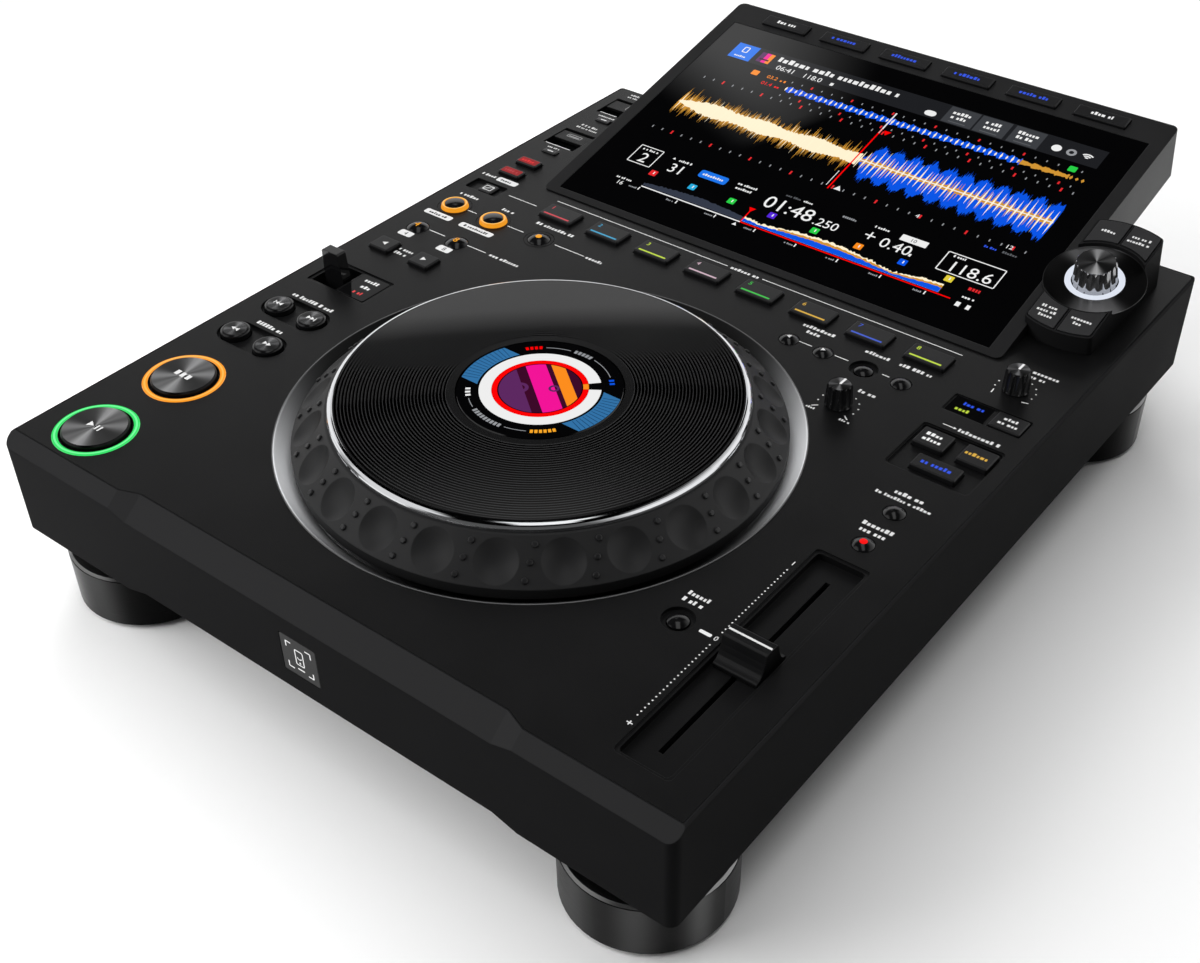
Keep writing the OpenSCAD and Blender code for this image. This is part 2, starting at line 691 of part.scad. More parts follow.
// ---- Display ----
module disp_plan(inset = 0) translate([0, disp_l / 2])
    rounded_rect(disp_w - 2 * inset, disp_l - 2 * inset, 3.5);
// What lies below the deck and in front of the rear wall's face
module below_deck() translate([-body_w, front_y - cut, -cut]) cube([2 * body_w, body_d + cut, deck_z + cut]);
module display_housing() color([0.14, 0.14, 0.15]) difference() {
    on_display() translate([0, 0, -disp_t]) linear_extrude(disp_t) disp_plan();
    below_deck();
    on_display() {
        translate([0, glass_inset + glass_l / 2, -glass_t - glass_sink]) linear_extrude(glass_t + cut)
            square([glass_w + 2 * seam, glass_l + 2 * seam], center = true);
        for (i = [0 : 5]) translate([menu_x(i), menu_v, 0]) key_opening([menu_w, menu_d]);
        translate([0, menu_v, -disp_t + 4]) linear_extrude(disp_t - 4 - deck_t)
            square([glass_w, menu_d + 2 * flange_w + 2], center = true);
    }
}
function menu_x(i) = menu_pitch * (i - 2.5);
module touch_display() color([0.02, 0.02, 0.03]) difference() {
    on_display() translate([0, glass_inset + glass_l / 2, -glass_t - glass_sink]) linear_extrude(glass_t)
        square([glass_w, glass_l], center = true);
    below_deck();
}
module menu_keys() color([0.16, 0.16, 0.17]) on_display()
    for (i = [0 : 5]) translate([menu_x(i), menu_v, 0]) key([menu_w, menu_d], menu_h);

// ---- Browse pod ----
// Plan of the pod: straight sides, round ends and filleted corners between them
module pod_plan(inset = 0) {
    r = pod_r - inset;
    f = pod_corner - inset;
    fx = pod_w / 2 - pod_corner;
    fy = sqrt(pow(r - f, 2) - fx * fx);
    a = atan2(fy, fx);
    for (m = [0, 1]) rotate(m * 180) polygon(concat([[-fx - f, -eps], [fx + f, -eps]],
        arc(fx, fy, f, 0, a, 6), arc(0, 0, r, a, 180 - a, 24), arc(-fx, fy, f, 180 - a, 180, 6)));
}
module browse_pod() color([0.13, 0.13, 0.14]) difference() {
    on_pod() translate([0, 0, -pod_h]) linear_extrude(pod_h) pod_plan();
    below_deck();
    // The display housing beside it
    on_display() translate([0, 0, -disp_t - cut]) linear_extrude(disp_t + cut) disp_plan();
    on_pod() {
        for (c = pod_corners()) pod_key_cut(c);
        // Dish with a raised middle, a groove for the lit ring and a recess for the knob's foot
        rotate_extrude($fn = 96) polygon([[0, selector_foot - 0.4], [selector_ring_r - selector_ring_w,
            selector_foot - 0.4], [selector_ring_r - selector_ring_w, -dish_h - 1.2],
            [selector_ring_r + seam, -dish_h - 1.2], [selector_ring_r + seam, selector_ring_h - 0.3],
            [dish_r, -dish_h], [dish_r, cut], [0, cut]]);
        translate([0, 0, -pod_h]) cylinder(r = selector_shaft_r + run_gap, h = pod_h);
    }
}
function pod_corners() = [[-1, -1], [1, -1], [-1, 1], [1, 1]];
// Plan of one corner key: between the dish and the pod's round end, one side of the middle
module pod_key_plan(c, gap) intersection() {
    difference() {
        pod_plan(pod_frame + gap);
        circle(dish_r + pod_frame + gap, $fn = 96);
    }
    translate([c[0] * (pod_w / 4 + pod_frame / 4 + gap / 2), c[1] * pod_r / 2])
        square([pod_w / 2 - pod_frame / 2 - gap, pod_r], center = true);
}
module pod_key_cut(c) translate([0, 0, -pod_key_pit]) linear_extrude(pod_key_pit + cut) pod_key_plan(c, 0);
module pod_keys() color([0.2, 0.2, 0.21]) on_pod() for (c = pod_corners())
    translate([0, 0, -pod_key_foot]) linear_extrude(pod_key_foot + pod_key_h) pod_key_plan(c, pod_key_gap);
module selector_knob() color([0.15, 0.15, 0.16]) on_pod() {
    difference() {
        // Body that narrows to a sloping shoulder and a flat, slightly hollow top
        rotate_extrude($fn = 96) polygon([[0, selector_foot], [selector_r, selector_foot],
            [selector_r, selector_foot + 0.8], [selector_r - 0.5, selector_h - 1.5],
            [selector_r - 1.7, selector_h], [selector_r - 2.1, selector_h],
            [selector_r / 4, selector_h - selector_hollow], [0, selector_h - selector_hollow]]);
        for (i = [0 : selector_flutes - 1]) rotate([0, 0, i * 360 / selector_flutes])
            translate([selector_r + 0.9, 0, selector_foot + 1.6])
                cylinder(r = selector_flute_r, h = selector_h - selector_foot - 3.4, $fn = 24);
    }
    translate([0, 0, selector_foot - 8]) cylinder(r = selector_shaft_r, h = 9);
}

// ---- Light guides and lit windows ----
module button_guide() tube(play_r + ring_gap + ring_w, play_r + ring_gap, -guide_h, guide_rise);
module light_guides() {
    color([0.2, 0.9, 0.4]) at_deck(left_col, play_row) button_guide();
    color([1, 0.6, 0.15]) at_deck(left_col, cue_row) button_guide();
    color([1, 0.65, 0.2]) for (x = pair_x) at_deck(x, loop_row) difference() {
        translate([0, 0, -skirt_seat])
            cylinder(r1 = loop_skirt_r[0], r2 = loop_skirt_r[1], h = skirt_seat + loop_skirt_h);
        translate([0, 0, -cut]) cylinder(r = loop_r + key_gap, h = 2 * cut);
    }
    color([0.95, 0.95, 1]) on_pod() tube(selector_ring_r, selector_ring_r - selector_ring_w + seam,
        -dish_h - 1.2, selector_ring_h);
    color([0.02, 0.02, 0.02]) {
        at_deck(window_x, lever_row) box(window_size - [seam, seam], -step_h - 1, -step_h + 0.3);
        at_deck(mode_window_x, mode_row) box(mode_window - [seam, seam], -step_h - 1, -step_h + 0.3);
        translate([0, front_y + 1, tag_z]) rotate([90, 0, 0]) linear_extrude(0.95)
            rounded_rect(tag_size - 2 * seam, tag_size - 2 * seam, 0.9);
    }
}

// ---- Sockets ----
module at_rear(x) translate([x, front_y + body_d, socket_z]) rotate([-90, 0, 0]) children();
module rear_openings() {
    deep = -wall_t - 1;
    at_rear(inlet_x) box(inlet_size, deep, cut);
    at_rear(power_x) box(rocker_frame, deep, cut);
    at_rear(lan_x) box(lan_size, deep, cut);
    at_rear(usb_b_x) box(usb_b_size, deep, cut);
    for (x = jack_xs) at_rear(x) translate([0, 0, deep]) cylinder(r = jack_r + jack_wall, h = cut);
}
module sockets() {
    color([0.08, 0.08, 0.08]) at_rear(inlet_x) {
        difference() {
            union() {
                box(inlet_size, -20, 0);
                box(inlet_size + [6, 4], 0, 1.6);
            }
            box(inlet_size - [5, 5], -16, cut);
        }
        for (p = [[-7, 2], [0, -2], [7, 2]]) translate([p[0], p[1], 0]) box([2, 4], -17, -6);
    }
    color([0.8, 0.7, 0.35]) for (x = jack_xs) at_rear(x) difference() {
        union() {
            translate([0, 0, -jack_l]) cylinder(r = jack_r + jack_wall, h = jack_l + 1);
            cylinder(r = jack_r, h = jack_l);
        }
        translate([0, 0, -1]) cylinder(r = jack_bore_r, h = jack_l + cut);
    }
    color([0.7, 0.7, 0.72]) at_rear(lan_x) socket_shell(lan_size, 18, 1.2);
    color([0.7, 0.7, 0.72]) at_rear(usb_b_x) socket_shell(usb_b_size, 16, 1.5);
    // Plug and card sockets below their lids
    color([0.75, 0.75, 0.77]) for (i = [0, 1]) at_pit(i) at_socket(i) difference() {
        box([shell_w[i], shell_d[i]], -pit_h - 8, -shell_top);
        box([shell_w[i] - 2 * shell_wall, shell_d[i] - 2 * shell_wall], -pit_h - 7, cut);
    }
    color([0.1, 0.1, 0.1]) at_pit(0) at_socket(0) translate([0, shell_d[0] / 2 - shell_wall - 0.95, 0])
        box([shell_w[0] - 2 * shell_wall - 1.2, 1.9], -pit_h - 7, -shell_top - 1);
    // Frame of the power switch
    color([0.1, 0.1, 0.1]) at_rear(power_x) difference() {
        union() {
            box(rocker_frame, -14, 0);
            box(rocker_frame + [2, 2], 0, 0.8);
        }
        box(rocker_size + rocker_gap, -12.5, cut);
        translate([0, 0, rocker_pin_z]) rotate([0, 90, 0])
            cylinder(r = rocker_pin_r + run_gap, h = rocker_size[0] + rocker_gap[0] + 2.6, center = true);
    }
}
module socket_shell(size, depth, wall) difference() {
    box(size, -depth, 0.5);
    box(size - [2 * wall, 2 * wall], -depth + 3, cut);
}
// Rocker with its pin, down at one side
module power_switch() color([0.06, 0.06, 0.06])
    at_rear(power_x) translate([0, 0, rocker_pin_z]) rotate([rocker_angle, 0, 0]) {
        half = rocker_size[1] / 2;
        translate([-rocker_size[0] / 2, 0, -rocker_pin_z]) rotate([90, 0, 90])
            linear_extrude(rocker_size[0]) polygon([[-half, -6.5], [half, -6.5], [half, 1.4],
                [half / 2, 0.7], [0, 0.5], [-half / 2, 0.7], [-half, 1.4]]);
        rotate([0, 90, 0]) cylinder(r = rocker_pin_r, h = rocker_size[0] + rocker_gap[0] + 2, center = true);
    }

// ---- Fader ----
module at_fader() at_deck(fader_x, fader_row) children();
module fader_unit() color([0.55, 0.56, 0.58]) at_fader() {
    z = -fader_pit_h - pan_t;
    difference() {
        box([rail_gap + 10, rail_len], z - rail_h, z);
        box([rail_gap + 7, rail_len - 6], z - rail_h + 1.5, z + cut);
        for (s = [-1, 1]) translate([s * rail_gap / 2, 0, z - rail_h / 2]) rotate([90, 0, 0])
            cylinder(r = rail_r, h = rail_len - 2, center = true);
    }
    for (s = [-1, 1]) translate([s * rail_gap / 2, 0, z - rail_h / 2]) rotate([90, 0, 0])
        cylinder(r = rail_r, h = rail_len - 2, center = true);
}
module tempo_fader() {
    z = -fader_pit_h - pan_t - rail_h / 2;
    color([0.2, 0.2, 0.21]) at_fader() {
        translate([-fader_cap[0] / 2, 0, 0]) rotate([90, 0, 90]) linear_extrude(fader_cap[0])
            polygon(concat(fader_side,
                [for (i = [len(fader_side) - 1 : -1 : 0]) [-fader_side[i][0], fader_side[i][1]]]));
        // Stem through the slot and the carriage on the rails
        box([fader_stem_w, 6], z, -fader_pit_h + 1);
        difference() {
            box([rail_gap + 5.6, carriage_l], z - carriage_h / 2, z + carriage_h / 2);
            for (s = [-1, 1]) translate([s * rail_gap / 2, 0, z]) rotate([90, 0, 0])
                cylinder(r = rail_r + run_gap, h = carriage_l + 2, center = true);
        }
    }
}

// ---- Board ----
module main_board() {
    fader_unit();
    top = board_z + board_t;
    translate([0, front_y + body_d / 2, 0]) {
        // Board on four posts
        color([0.05, 0.3, 0.15]) {
            box(board_size, board_z, top);
            for (sx = [-1, 1], sy = [-1, 1])
                translate([sx * (board_size[0] / 2 - 10), sy * (board_size[1] / 2 - 10), foot_h + pan_wall])
                    cylinder(r = 3.5, h = board_z - foot_h - pan_wall);
        }
        // Heat sink, power supply and processor
        color([0.5, 0.5, 0.5]) translate([-40, 70, 0]) for (i = [-4 : 4])
            translate([i * 6, 0, 0]) box([2, 50], top, top + 14.4);
        color([0.7, 0.7, 0.72]) translate([inlet_x + 30, body_d / 2 - 90, 0]) box([60, 80], top, top + 20.4);
        color([0.1, 0.1, 0.1]) translate([50, -40, 0]) box([30, 30], top, top + 2.4);
    }
}

// ---- Buttons and keys ----
module hot_cue_key(i) color([0.2, 0.2, 0.21]) at_deck(hot_x(i), hot_row) key([hot_w, hot_d], hot_h);
module transport_button(row) color([0.5, 0.5, 0.52]) at_deck(left_col, row)
    round_button(play_r, flat_points(play_r, play_h, play_edge));
module search_button(row, side) color([0.12, 0.12, 0.12]) at_deck(left_col + side * search_pitch / 2, row)
    round_button(search_r, rounded_points(search_r, search_h, search_round));
module big_dome_button(x, row) dome_button(x, row, big_dome_r, big_dome_h);
module dome_button(x, row, r = dome_r, height = dome_h) color([0.1, 0.1, 0.1]) at_deck(x, row)
    round_button(r, dome_points(r, 0, height));
module loop_button(x) color([0.12, 0.12, 0.12]) at_deck(x, loop_row)
    round_button(loop_r, dome_points(loop_r, loop_skirt_h, loop_h));
module flush_button(x, row) color([0.1, 0.1, 0.1]) at_deck(x, row)
    round_button(reset_r, dome_points(reset_r, -0.9, 1.1));
module flat_key(x, row, size, top, c = [0.18, 0.18, 0.19]) color(c) at_deck(x, row) key(size, top);
module sync_key(k) color([0.18, 0.18, 0.19])
    at_deck(right_col + k[0], sync_row + k[1]) key(k[2], sync_h);
module stop_keys() color([0.06, 0.06, 0.06]) for (i = [0, 1])
    at_deck(switch_x, usb_row - usb_stop_offset + i * usb_pitch) key(stop_size, stop_h);
module small_knob(k) color([0.1, 0.1, 0.1]) at_deck(k[0], k[1]) {
    difference() {
        // Foot, tapering side and a slightly hollow top
        rotate_extrude($fn = 64) polygon([
            [0, knob_foot[0]], [knob_r[0], knob_foot[0]], [knob_r[0], knob_foot[1]],
            [knob_r[1] + 0.2, knob_h - 0.6], [knob_r[1] - 0.2, knob_h],
            [knob_r[1] / 4, knob_h - knob_hollow], [0, knob_h - knob_hollow]]);
        for (i = [0 : knob_flutes - 1]) rotate([0, 0, i * 360 / knob_flutes])
            translate([knob_r[0] + 0.4, 0, knob_foot[1] + knob_foot[0]])
                cylinder(r = knob_flute_r, h = knob_h - 2 * knob_foot[1], $fn = 20);
    }
    translate([0, 0, -deck_t - 4]) cylinder(r = knob_shaft_r, h = deck_t + 5);
}
module direction_lever() color([0.08, 0.08, 0.08]) at_deck(lever_x, lever_row) {
    w = lever_size[0];
    t = lever_size[1];
    // Paddle, a little wider at the foot than at the top
    translate([0, t / 2, 0]) rotate([90, 0, 0]) linear_extrude(t) polygon([
        [-w / 2, -lever_pivot_h - 3], [w / 2 + 1, -lever_pivot_h - 3], [w / 2 + 1, 0],
        [w / 2 - 0.6, lever_h - 0.6], [w / 2 - 1.2, lever_h],
        [-w / 2 + 0.6, lever_h], [-w / 2, lever_h - 0.6]]);
    translate([0, 0, -lever_pivot_h]) rotate([0, 90, 0])
        cylinder(r = lever_pin_r, h = lever_slot[0] + 2 * pan_t, center = true);
}

outer_case();
deck_panel();
base_pan();
feet();
display_housing();
touch_display();
browse_pod();
jog_well();
centre_display();
light_guides();
sockets();
main_board();
jog_ring();
jog_plate();
hot_cue_key(0);  // hot_cue_key_1
hot_cue_key(1);  // hot_cue_key_2
hot_cue_key(2);  // hot_cue_key_3
hot_cue_key(3);  // hot_cue_key_4
hot_cue_key(4);  // hot_cue_key_5
hot_cue_key(5);  // hot_cue_key_6
hot_cue_key(6);  // hot_cue_key_7
hot_cue_key(7);  // hot_cue_key_8
transport_button(play_row);  // play_button
transport_button(cue_row);  // cue_button
search_button(search_row, -1);  // search_back_button
search_button(search_row, 1);  // search_forward_button
search_button(track_row, -1);  // track_back_button
search_button(track_row, 1);  // track_forward_button
direction_lever();
flat_key(pair_x[0], jump_row, jump_size, hot_h);  // beat_jump_back_key
flat_key(pair_x[1], jump_row, jump_size, hot_h);  // beat_jump_forward_key
big_dome_button(pair_x[0], beat_loop_row);  // beat_loop_4_button
big_dome_button(pair_x[1], beat_loop_row);  // beat_loop_8_button
loop_button(pair_x[0]);  // loop_in_button
loop_button(pair_x[1]);  // loop_out_button
big_dome_button(exit_x, loop_row);  // loop_exit_button
flat_key(switch_x, call_row, call_size, 0);  // call_key
flat_key(switch_x, slip_row, lit_size, hot_h);  // slip_key
flat_key(switch_x, quantize_row, lit_size, hot_h);  // quantize_key
stop_keys();
pit_lid(0);  // usb_lid
pit_lid(1);  // card_lid
dome_button(call_xs[0], loop_row);  // cue_call_back_button
dome_button(call_xs[1], loop_row);  // cue_call_forward_button
flush_button(delete_x, loop_row);  // delete_button
dome_button(memory_x, loop_row);  // memory_button
small_knob(knob_places()[0]);  // jog_feel_knob
small_knob(knob_places()[1]);  // jog_speed_knob
flat_key(mode_key_x, mode_row, mode_size, mode_h);  // jog_mode_key
sync_key(sync_keys()[0]);  // beat_sync_key
sync_key(sync_keys()[1]);  // master_key
sync_key(sync_keys()[2]);  // key_sync_key
dome_button(right_col + 1.3, tempo_range_row);  // tempo_range_button
dome_button(right_col + 1.3, master_tempo_row);  // master_tempo_button
flush_button(reset_x, fader_row);  // tempo_reset_button
tempo_fader();
menu_keys();
pod_keys();
selector_knob();
power_switch();
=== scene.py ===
import json
import math
import random

import bmesh
import bpy
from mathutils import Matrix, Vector


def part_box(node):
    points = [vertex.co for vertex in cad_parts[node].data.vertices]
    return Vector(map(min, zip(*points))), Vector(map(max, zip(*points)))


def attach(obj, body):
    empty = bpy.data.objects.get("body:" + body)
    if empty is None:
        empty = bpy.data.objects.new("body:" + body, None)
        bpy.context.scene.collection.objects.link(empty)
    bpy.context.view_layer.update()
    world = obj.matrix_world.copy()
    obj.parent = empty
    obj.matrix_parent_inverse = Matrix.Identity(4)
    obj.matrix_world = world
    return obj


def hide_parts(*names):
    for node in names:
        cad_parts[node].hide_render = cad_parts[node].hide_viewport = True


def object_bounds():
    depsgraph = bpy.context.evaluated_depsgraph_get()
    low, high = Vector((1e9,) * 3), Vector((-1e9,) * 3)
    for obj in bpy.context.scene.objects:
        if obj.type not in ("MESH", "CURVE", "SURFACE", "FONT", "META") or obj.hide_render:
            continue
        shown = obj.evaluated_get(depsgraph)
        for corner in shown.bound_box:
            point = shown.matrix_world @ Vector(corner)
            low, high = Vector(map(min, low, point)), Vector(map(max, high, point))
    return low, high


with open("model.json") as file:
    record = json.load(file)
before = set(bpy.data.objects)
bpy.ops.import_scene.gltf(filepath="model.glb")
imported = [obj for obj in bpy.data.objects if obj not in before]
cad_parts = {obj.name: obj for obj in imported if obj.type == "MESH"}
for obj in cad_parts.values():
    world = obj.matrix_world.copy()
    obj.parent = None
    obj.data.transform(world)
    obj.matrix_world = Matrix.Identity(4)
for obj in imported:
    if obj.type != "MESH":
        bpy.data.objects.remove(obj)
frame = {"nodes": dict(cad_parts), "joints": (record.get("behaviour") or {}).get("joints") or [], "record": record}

cadLow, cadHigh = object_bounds()
mm = 0.001
random.seed(7)
print("frame loaded:", len(frame["nodes"]), "nodes")

# places taken from the frame; x and y on the deck are in mm from the middle of the case
caseLow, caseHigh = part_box("outer_case")
caseY = (caseLow.y + caseHigh.y) / 2
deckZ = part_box("deck_panel")[1].z
up = Vector((0, 0, 1))
right = Vector((1, 0, 0))
forward = Vector((0, 1, 0))


def middle(node):
    low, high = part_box(node)
    return (low + high) / 2


def deckAt(node):
    # the point of the deck straight above or below the middle of something
    place = middle(node)
    return Spot(Vector((place.x, place.y, deckZ)))


def addObject(name, data):
    thing = bpy.data.objects.new(name, data)
    bpy.context.scene.collection.objects.link(thing)
    return thing

def jointOf(name):
    return next(j for j in frame["joints"] if j["name"] == name)


slopeUp = -Vector(jointOf("menu_keys_press")["axis"]).normalized()
slopeAlong = slopeUp.cross(right)


class Spot:
    # a flat place to print or build on: x, y and height in mm become a point of the frame
    def __init__(self, origin, along=forward, normal=up, across=right, ball=0.0):
        self.origin = origin
        self.along = along
        self.normal = normal
        self.across = across
        self.ball = ball  # radius of a domed face

    def at(self, x, y, h=0.0):
        if self.ball:
            h = h + math.sqrt(self.ball ** 2 - x * x - y * y) - self.ball
        return self.origin + (self.across * x + self.along * y + self.normal * h) * mm

    def moved(self, x, y, h=0.0):
        return Spot(self.at(x, y, h), self.along, self.normal, self.across, self.ball)


def topOf(node, ball=0.0):
    low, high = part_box(node)
    return Spot(Vector(((low.x + high.x) / 2, (low.y + high.y) / 2, high.z)), ball=ball)


def slopeTopOf(node):
    # the middle of the highest face of something on the slope
    points = [v.co for v in frame["nodes"][node].data.vertices]
    height = max(p.dot(slopeUp) for p in points)
    face = [p for p in points if p.dot(slopeUp) > height - 0.2 * mm]
    low = Vector(map(min, *face))
    high = Vector(map(max, *face))
    return Spot((low + high) / 2, along=slopeAlong, normal=slopeUp)


deck = Spot(Vector((0, caseY, deckZ)))
jogPlace = middle("jog_ring")
jogFace = Spot(Vector((jogPlace.x, jogPlace.y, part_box("jog_plate")[1].z)))
jogDeck = deckAt("jog_ring")
glassAlong = [v.co.dot(slopeAlong) for v in frame["nodes"]["touch_display"].data.vertices]
glassLong = (max(glassAlong) - min(glassAlong)) / mm
glass = slopeTopOf("touch_display").moved(0, -glassLong / 2)
selectorAxis = Vector(jointOf("selector_turn")["pos_m"])
pod = Spot(selectorAxis, along=slopeAlong, normal=slopeUp)
print("places found, glass is", round(glassLong, 1), "mm along the slope")

view = {"place": (338.4, -475.0, 454.7), "turn": (50.81, -0.06, 37.09), "lens": 47.61,
        "shift": (-0.0382, 0.0137), "sensor": 36, "near": 0.01}


def makeCamera():
    camera = addObject("camera", bpy.data.cameras.new("camera"))
    camera.location = Vector(view["place"]) * mm
    camera.rotation_euler = [math.radians(a) for a in view["turn"]]
    camera.data.lens = view["lens"]
    camera.data.sensor_width = view["sensor"]
    camera.data.shift_x, camera.data.shift_y = view["shift"]
    camera.data.clip_start = view["near"]
    bpy.context.scene.camera = camera


# soft lamps that light without showing in the shiny faces; the walls below do that
lamps = {
    "rearSoft": {"place": (-0.9, 0.9, 1.2), "size": (1.2, 1.0), "watts": 17},
    "frontFill": {"place": (-0.72, -0.88, 0.64), "size": (0.9, 0.8), "watts": 11.5},
    "topSoft": {"place": (0.15, -0.1, 1.6), "size": (1.4, 1.4), "watts": 12},
}


def makeLamps():
    for name, lamp in lamps.items():
        light = bpy.data.lights.new(name, "AREA")
        light.shape = "RECTANGLE"
        light.size, light.size_y = lamp["size"]
        light.energy = lamp["watts"]
        holder = addObject(name, light)
        holder.location = lamp["place"]
        holder.rotation_euler = Vector(lamp["place"]).to_track_quat("Z", "Y").to_euler()
        holder.visible_glossy = False


# what shiny faces see: heights run from 0 at the horizon to 1 overhead
room = {
    "wallTop": 0.540, "wallEdge": 0.006,  # the white walls end in a crisp upper edge
    "wallFade": (0.38, 0.52), "wallLow": 1.0, "wallHigh": 0.8,
    # a softer wall at the rear right
    "rightFade": (-0.12, 0.12), "rightBack": (-0.1, 0.2), "rightFrom": (0.6, 0.9), "rightStrength": 0.7,
    "frontFade": (-0.5, 0.0), "frontShare": 0.1,  # the walls are dim in front of the object
    "boxNormal": (0.5475, -0.4841, 0.6826),  # slanted upper edge of the softbox at the rear left
    "boxEdge": 0.004, "boxFade": (0.6, 0.69), "boxStrength": 0.85, "boxSide": (-0.51, -0.43),
    "boxAlong": (0.468, 0.512),
    # a narrow strip overhead
    "stripAcross": (0.766, 0.643, 0), "stripHalf": (0.12, 0.2), "stripFrom": (0.88, 0.92),
    "stripStrength": 1.1,
    "frontBox": (-0.62, -0.58, 0.53), "frontBoxReach": (0.86, 0.93), "frontBoxStrength": 0.8,
    "soft": (0.4, 0.03), "softSide": (0.1, 0.8),  # soft light falls off to the right
}


def wire(tree, start, end):
    tree.links.new(start, end)


def addNode(tree, kind, **settings):
    node = tree.nodes.new("ShaderNode" + kind)
    for key, value in settings.items():
        if hasattr(node, key):
            setattr(node, key, value)
        else:
            node.inputs[key].default_value = value
    return node


def addMath(tree, operation, first, second=None):
    node = addNode(tree, "Math", operation=operation)
    for slot, value in enumerate((first, second)):
        if value is None:
            continue
        if isinstance(value, (int, float)):
            node.inputs[slot].default_value = value
        else:
            wire(tree, value, node.inputs[slot])
    return node.outputs[0]


def addRange(tree, source, fromMin, fromMax, toMin=0.0, toMax=1.0, kind="LINEAR"):
    spread = addNode(tree, "MapRange", interpolation_type=kind)
    spread.inputs["From Min"].default_value = fromMin
    spread.inputs["From Max"].default_value = fromMax
    spread.inputs["To Min"].default_value = toMin
    spread.inputs["To Max"].default_value = toMax
    wire(tree, source, spread.inputs["Value"])
    return spread.outputs[0]


def smooth(tree, source, reach, toMin=0, toMax=1):
    return addRange(tree, source, *reach, toMin, toMax, "SMOOTHSTEP")


def mixShaders(tree, *sources):
    blend = addNode(tree, "MixShader")
    for slot, source in enumerate(sources):
        wire(tree, source, blend.inputs[slot])
    return blend.outputs[0]


def rayKinds(tree):
    # rays straight from the camera, and rays that come by way of a shiny or clear face
    path = addNode(tree, "LightPath").outputs
    return path["Is Camera Ray"], addMath(tree, "MAXIMUM", path["Is Glossy Ray"], path["Is Transmission Ray"])


def makeWorld():
    # white walls behind and beside, a softbox at the rear left and a narrow strip overhead
    world = bpy.data.worlds.new("studio")
    bpy.context.scene.world = world
    world.use_nodes = True
    tree = world.node_tree
    tree.nodes.clear()
    place = addNode(tree, "TexCoord").outputs["Generated"]
    split = addNode(tree, "SeparateXYZ")
    wire(tree, place, split.inputs[0])
    across, along, high = split.outputs
    r = room

    def lean(direction):
        dot = addNode(tree, "VectorMath", operation="DOT_PRODUCT")
        dot.inputs[1].default_value = direction
        wire(tree, place, dot.inputs[0])
        return dot.outputs["Value"]

    def times(*parts):
        result = parts[0]
        for part in parts[1:]:
            result = addMath(tree, "MULTIPLY", result, part)
        return result

    def whiteLight(strength=None):
        shade = addNode(tree, "Background", Color=(1, 1, 1, 1), Strength=1.0)
        if strength is not None:
            wire(tree, strength, shade.inputs["Strength"])
        return shade.outputs[0]

    wall = times(smooth(tree, high, r["wallFade"], r["wallLow"], r["wallHigh"]),
                 addRange(tree, high, r["wallTop"] - r["wallEdge"], r["wallTop"] + r["wallEdge"], 1, 0),
                 smooth(tree, along, r["frontFade"], r["frontShare"], 1.0))
    box = times(addRange(tree, lean(r["boxNormal"]), -r["boxEdge"], r["boxEdge"], r["boxStrength"], 0),
                smooth(tree, high, r["boxFade"]), smooth(tree, across, r["boxSide"], 1, 0),
                smooth(tree, along, r["boxAlong"]))
    strip = times(smooth(tree, addMath(tree, "ABSOLUTE", lean(r["stripAcross"])), r["stripHalf"],
                         r["stripStrength"], 0), smooth(tree, high, r["stripFrom"]))
    rightWall = times(smooth(tree, across, r["rightFade"], 0, r["rightStrength"]),
                      smooth(tree, along, r["rightBack"]), smooth(tree, high, r["rightFrom"], 1, 0))
    frontBox = smooth(tree, lean(r["frontBox"]), r["frontBoxReach"], 0, r["frontBoxStrength"])
    brightest = wall
    for other in (box, strip, rightWall, frontBox):
        brightest = addMath(tree, "MAXIMUM", brightest, other)
    soft = addRange(tree, across, *r["softSide"], *r["soft"])
    camera, shiny = rayKinds(tree)
    around = mixShaders(tree, shiny, whiteLight(soft), whiteLight(brightest))
    out = addNode(tree, "OutputWorld")
    wire(tree, mixShaders(tree, camera, around, whiteLight()), out.inputs["Surface"])


# a pale floor that turns white between the two distances of its fade, in metres
ground = {"half": 4.0, "colour": 0.93, "bounce": 0.16, "fade": (0.34, 0.8), "roughness": 0.9,
          "specular": 0.05}


def makeFloor():
    half = ground["half"]
    mesh = bpy.data.meshes.new("floor")
    corners = [(-half, -half, 0), (half, -half, 0), (half, half, 0), (-half, half, 0)]
    mesh.from_pydata(corners, [], [(0, 1, 2, 3)])
    floor = addObject("floor", mesh)
    floor.location.z = cadLow.z
    finish = bpy.data.materials.new("paleFloor")
    finish.use_nodes = True
    tree = finish.node_tree
    shader = tree.nodes["Principled BSDF"]
    # what the eye and the shiny faces see of the floor is paler than the light it throws back up
    seen = addMath(tree, "MAXIMUM", *rayKinds(tree))
    wire(tree, addRange(tree, seen, 0, 1, ground["bounce"], ground["colour"]), shader.inputs["Base Color"])
    shader.inputs["Roughness"].default_value = ground["roughness"]
    shader.inputs["Specular IOR Level"].default_value = ground["specular"]
    away = addNode(tree, "VectorMath", operation="LENGTH")
    wire(tree, addNode(tree, "TexCoord").outputs["Object"], away.inputs[0])
    fade = addMath(tree, "MULTIPLY", seen, smooth(tree, away.outputs["Value"], ground["fade"]))
    white = addNode(tree, "Emission", Strength=1.0)
    wire(tree, mixShaders(tree, fade, shader.outputs[0], white.outputs[0]),
         tree.nodes["Material Output"].inputs["Surface"])
    mesh.materials.append(finish)


makeCamera()
makeLamps()
makeWorld()
makeFloor()
bpy.context.scene.view_settings.view_transform = "Standard"
print("camera, lamps and floor ready")


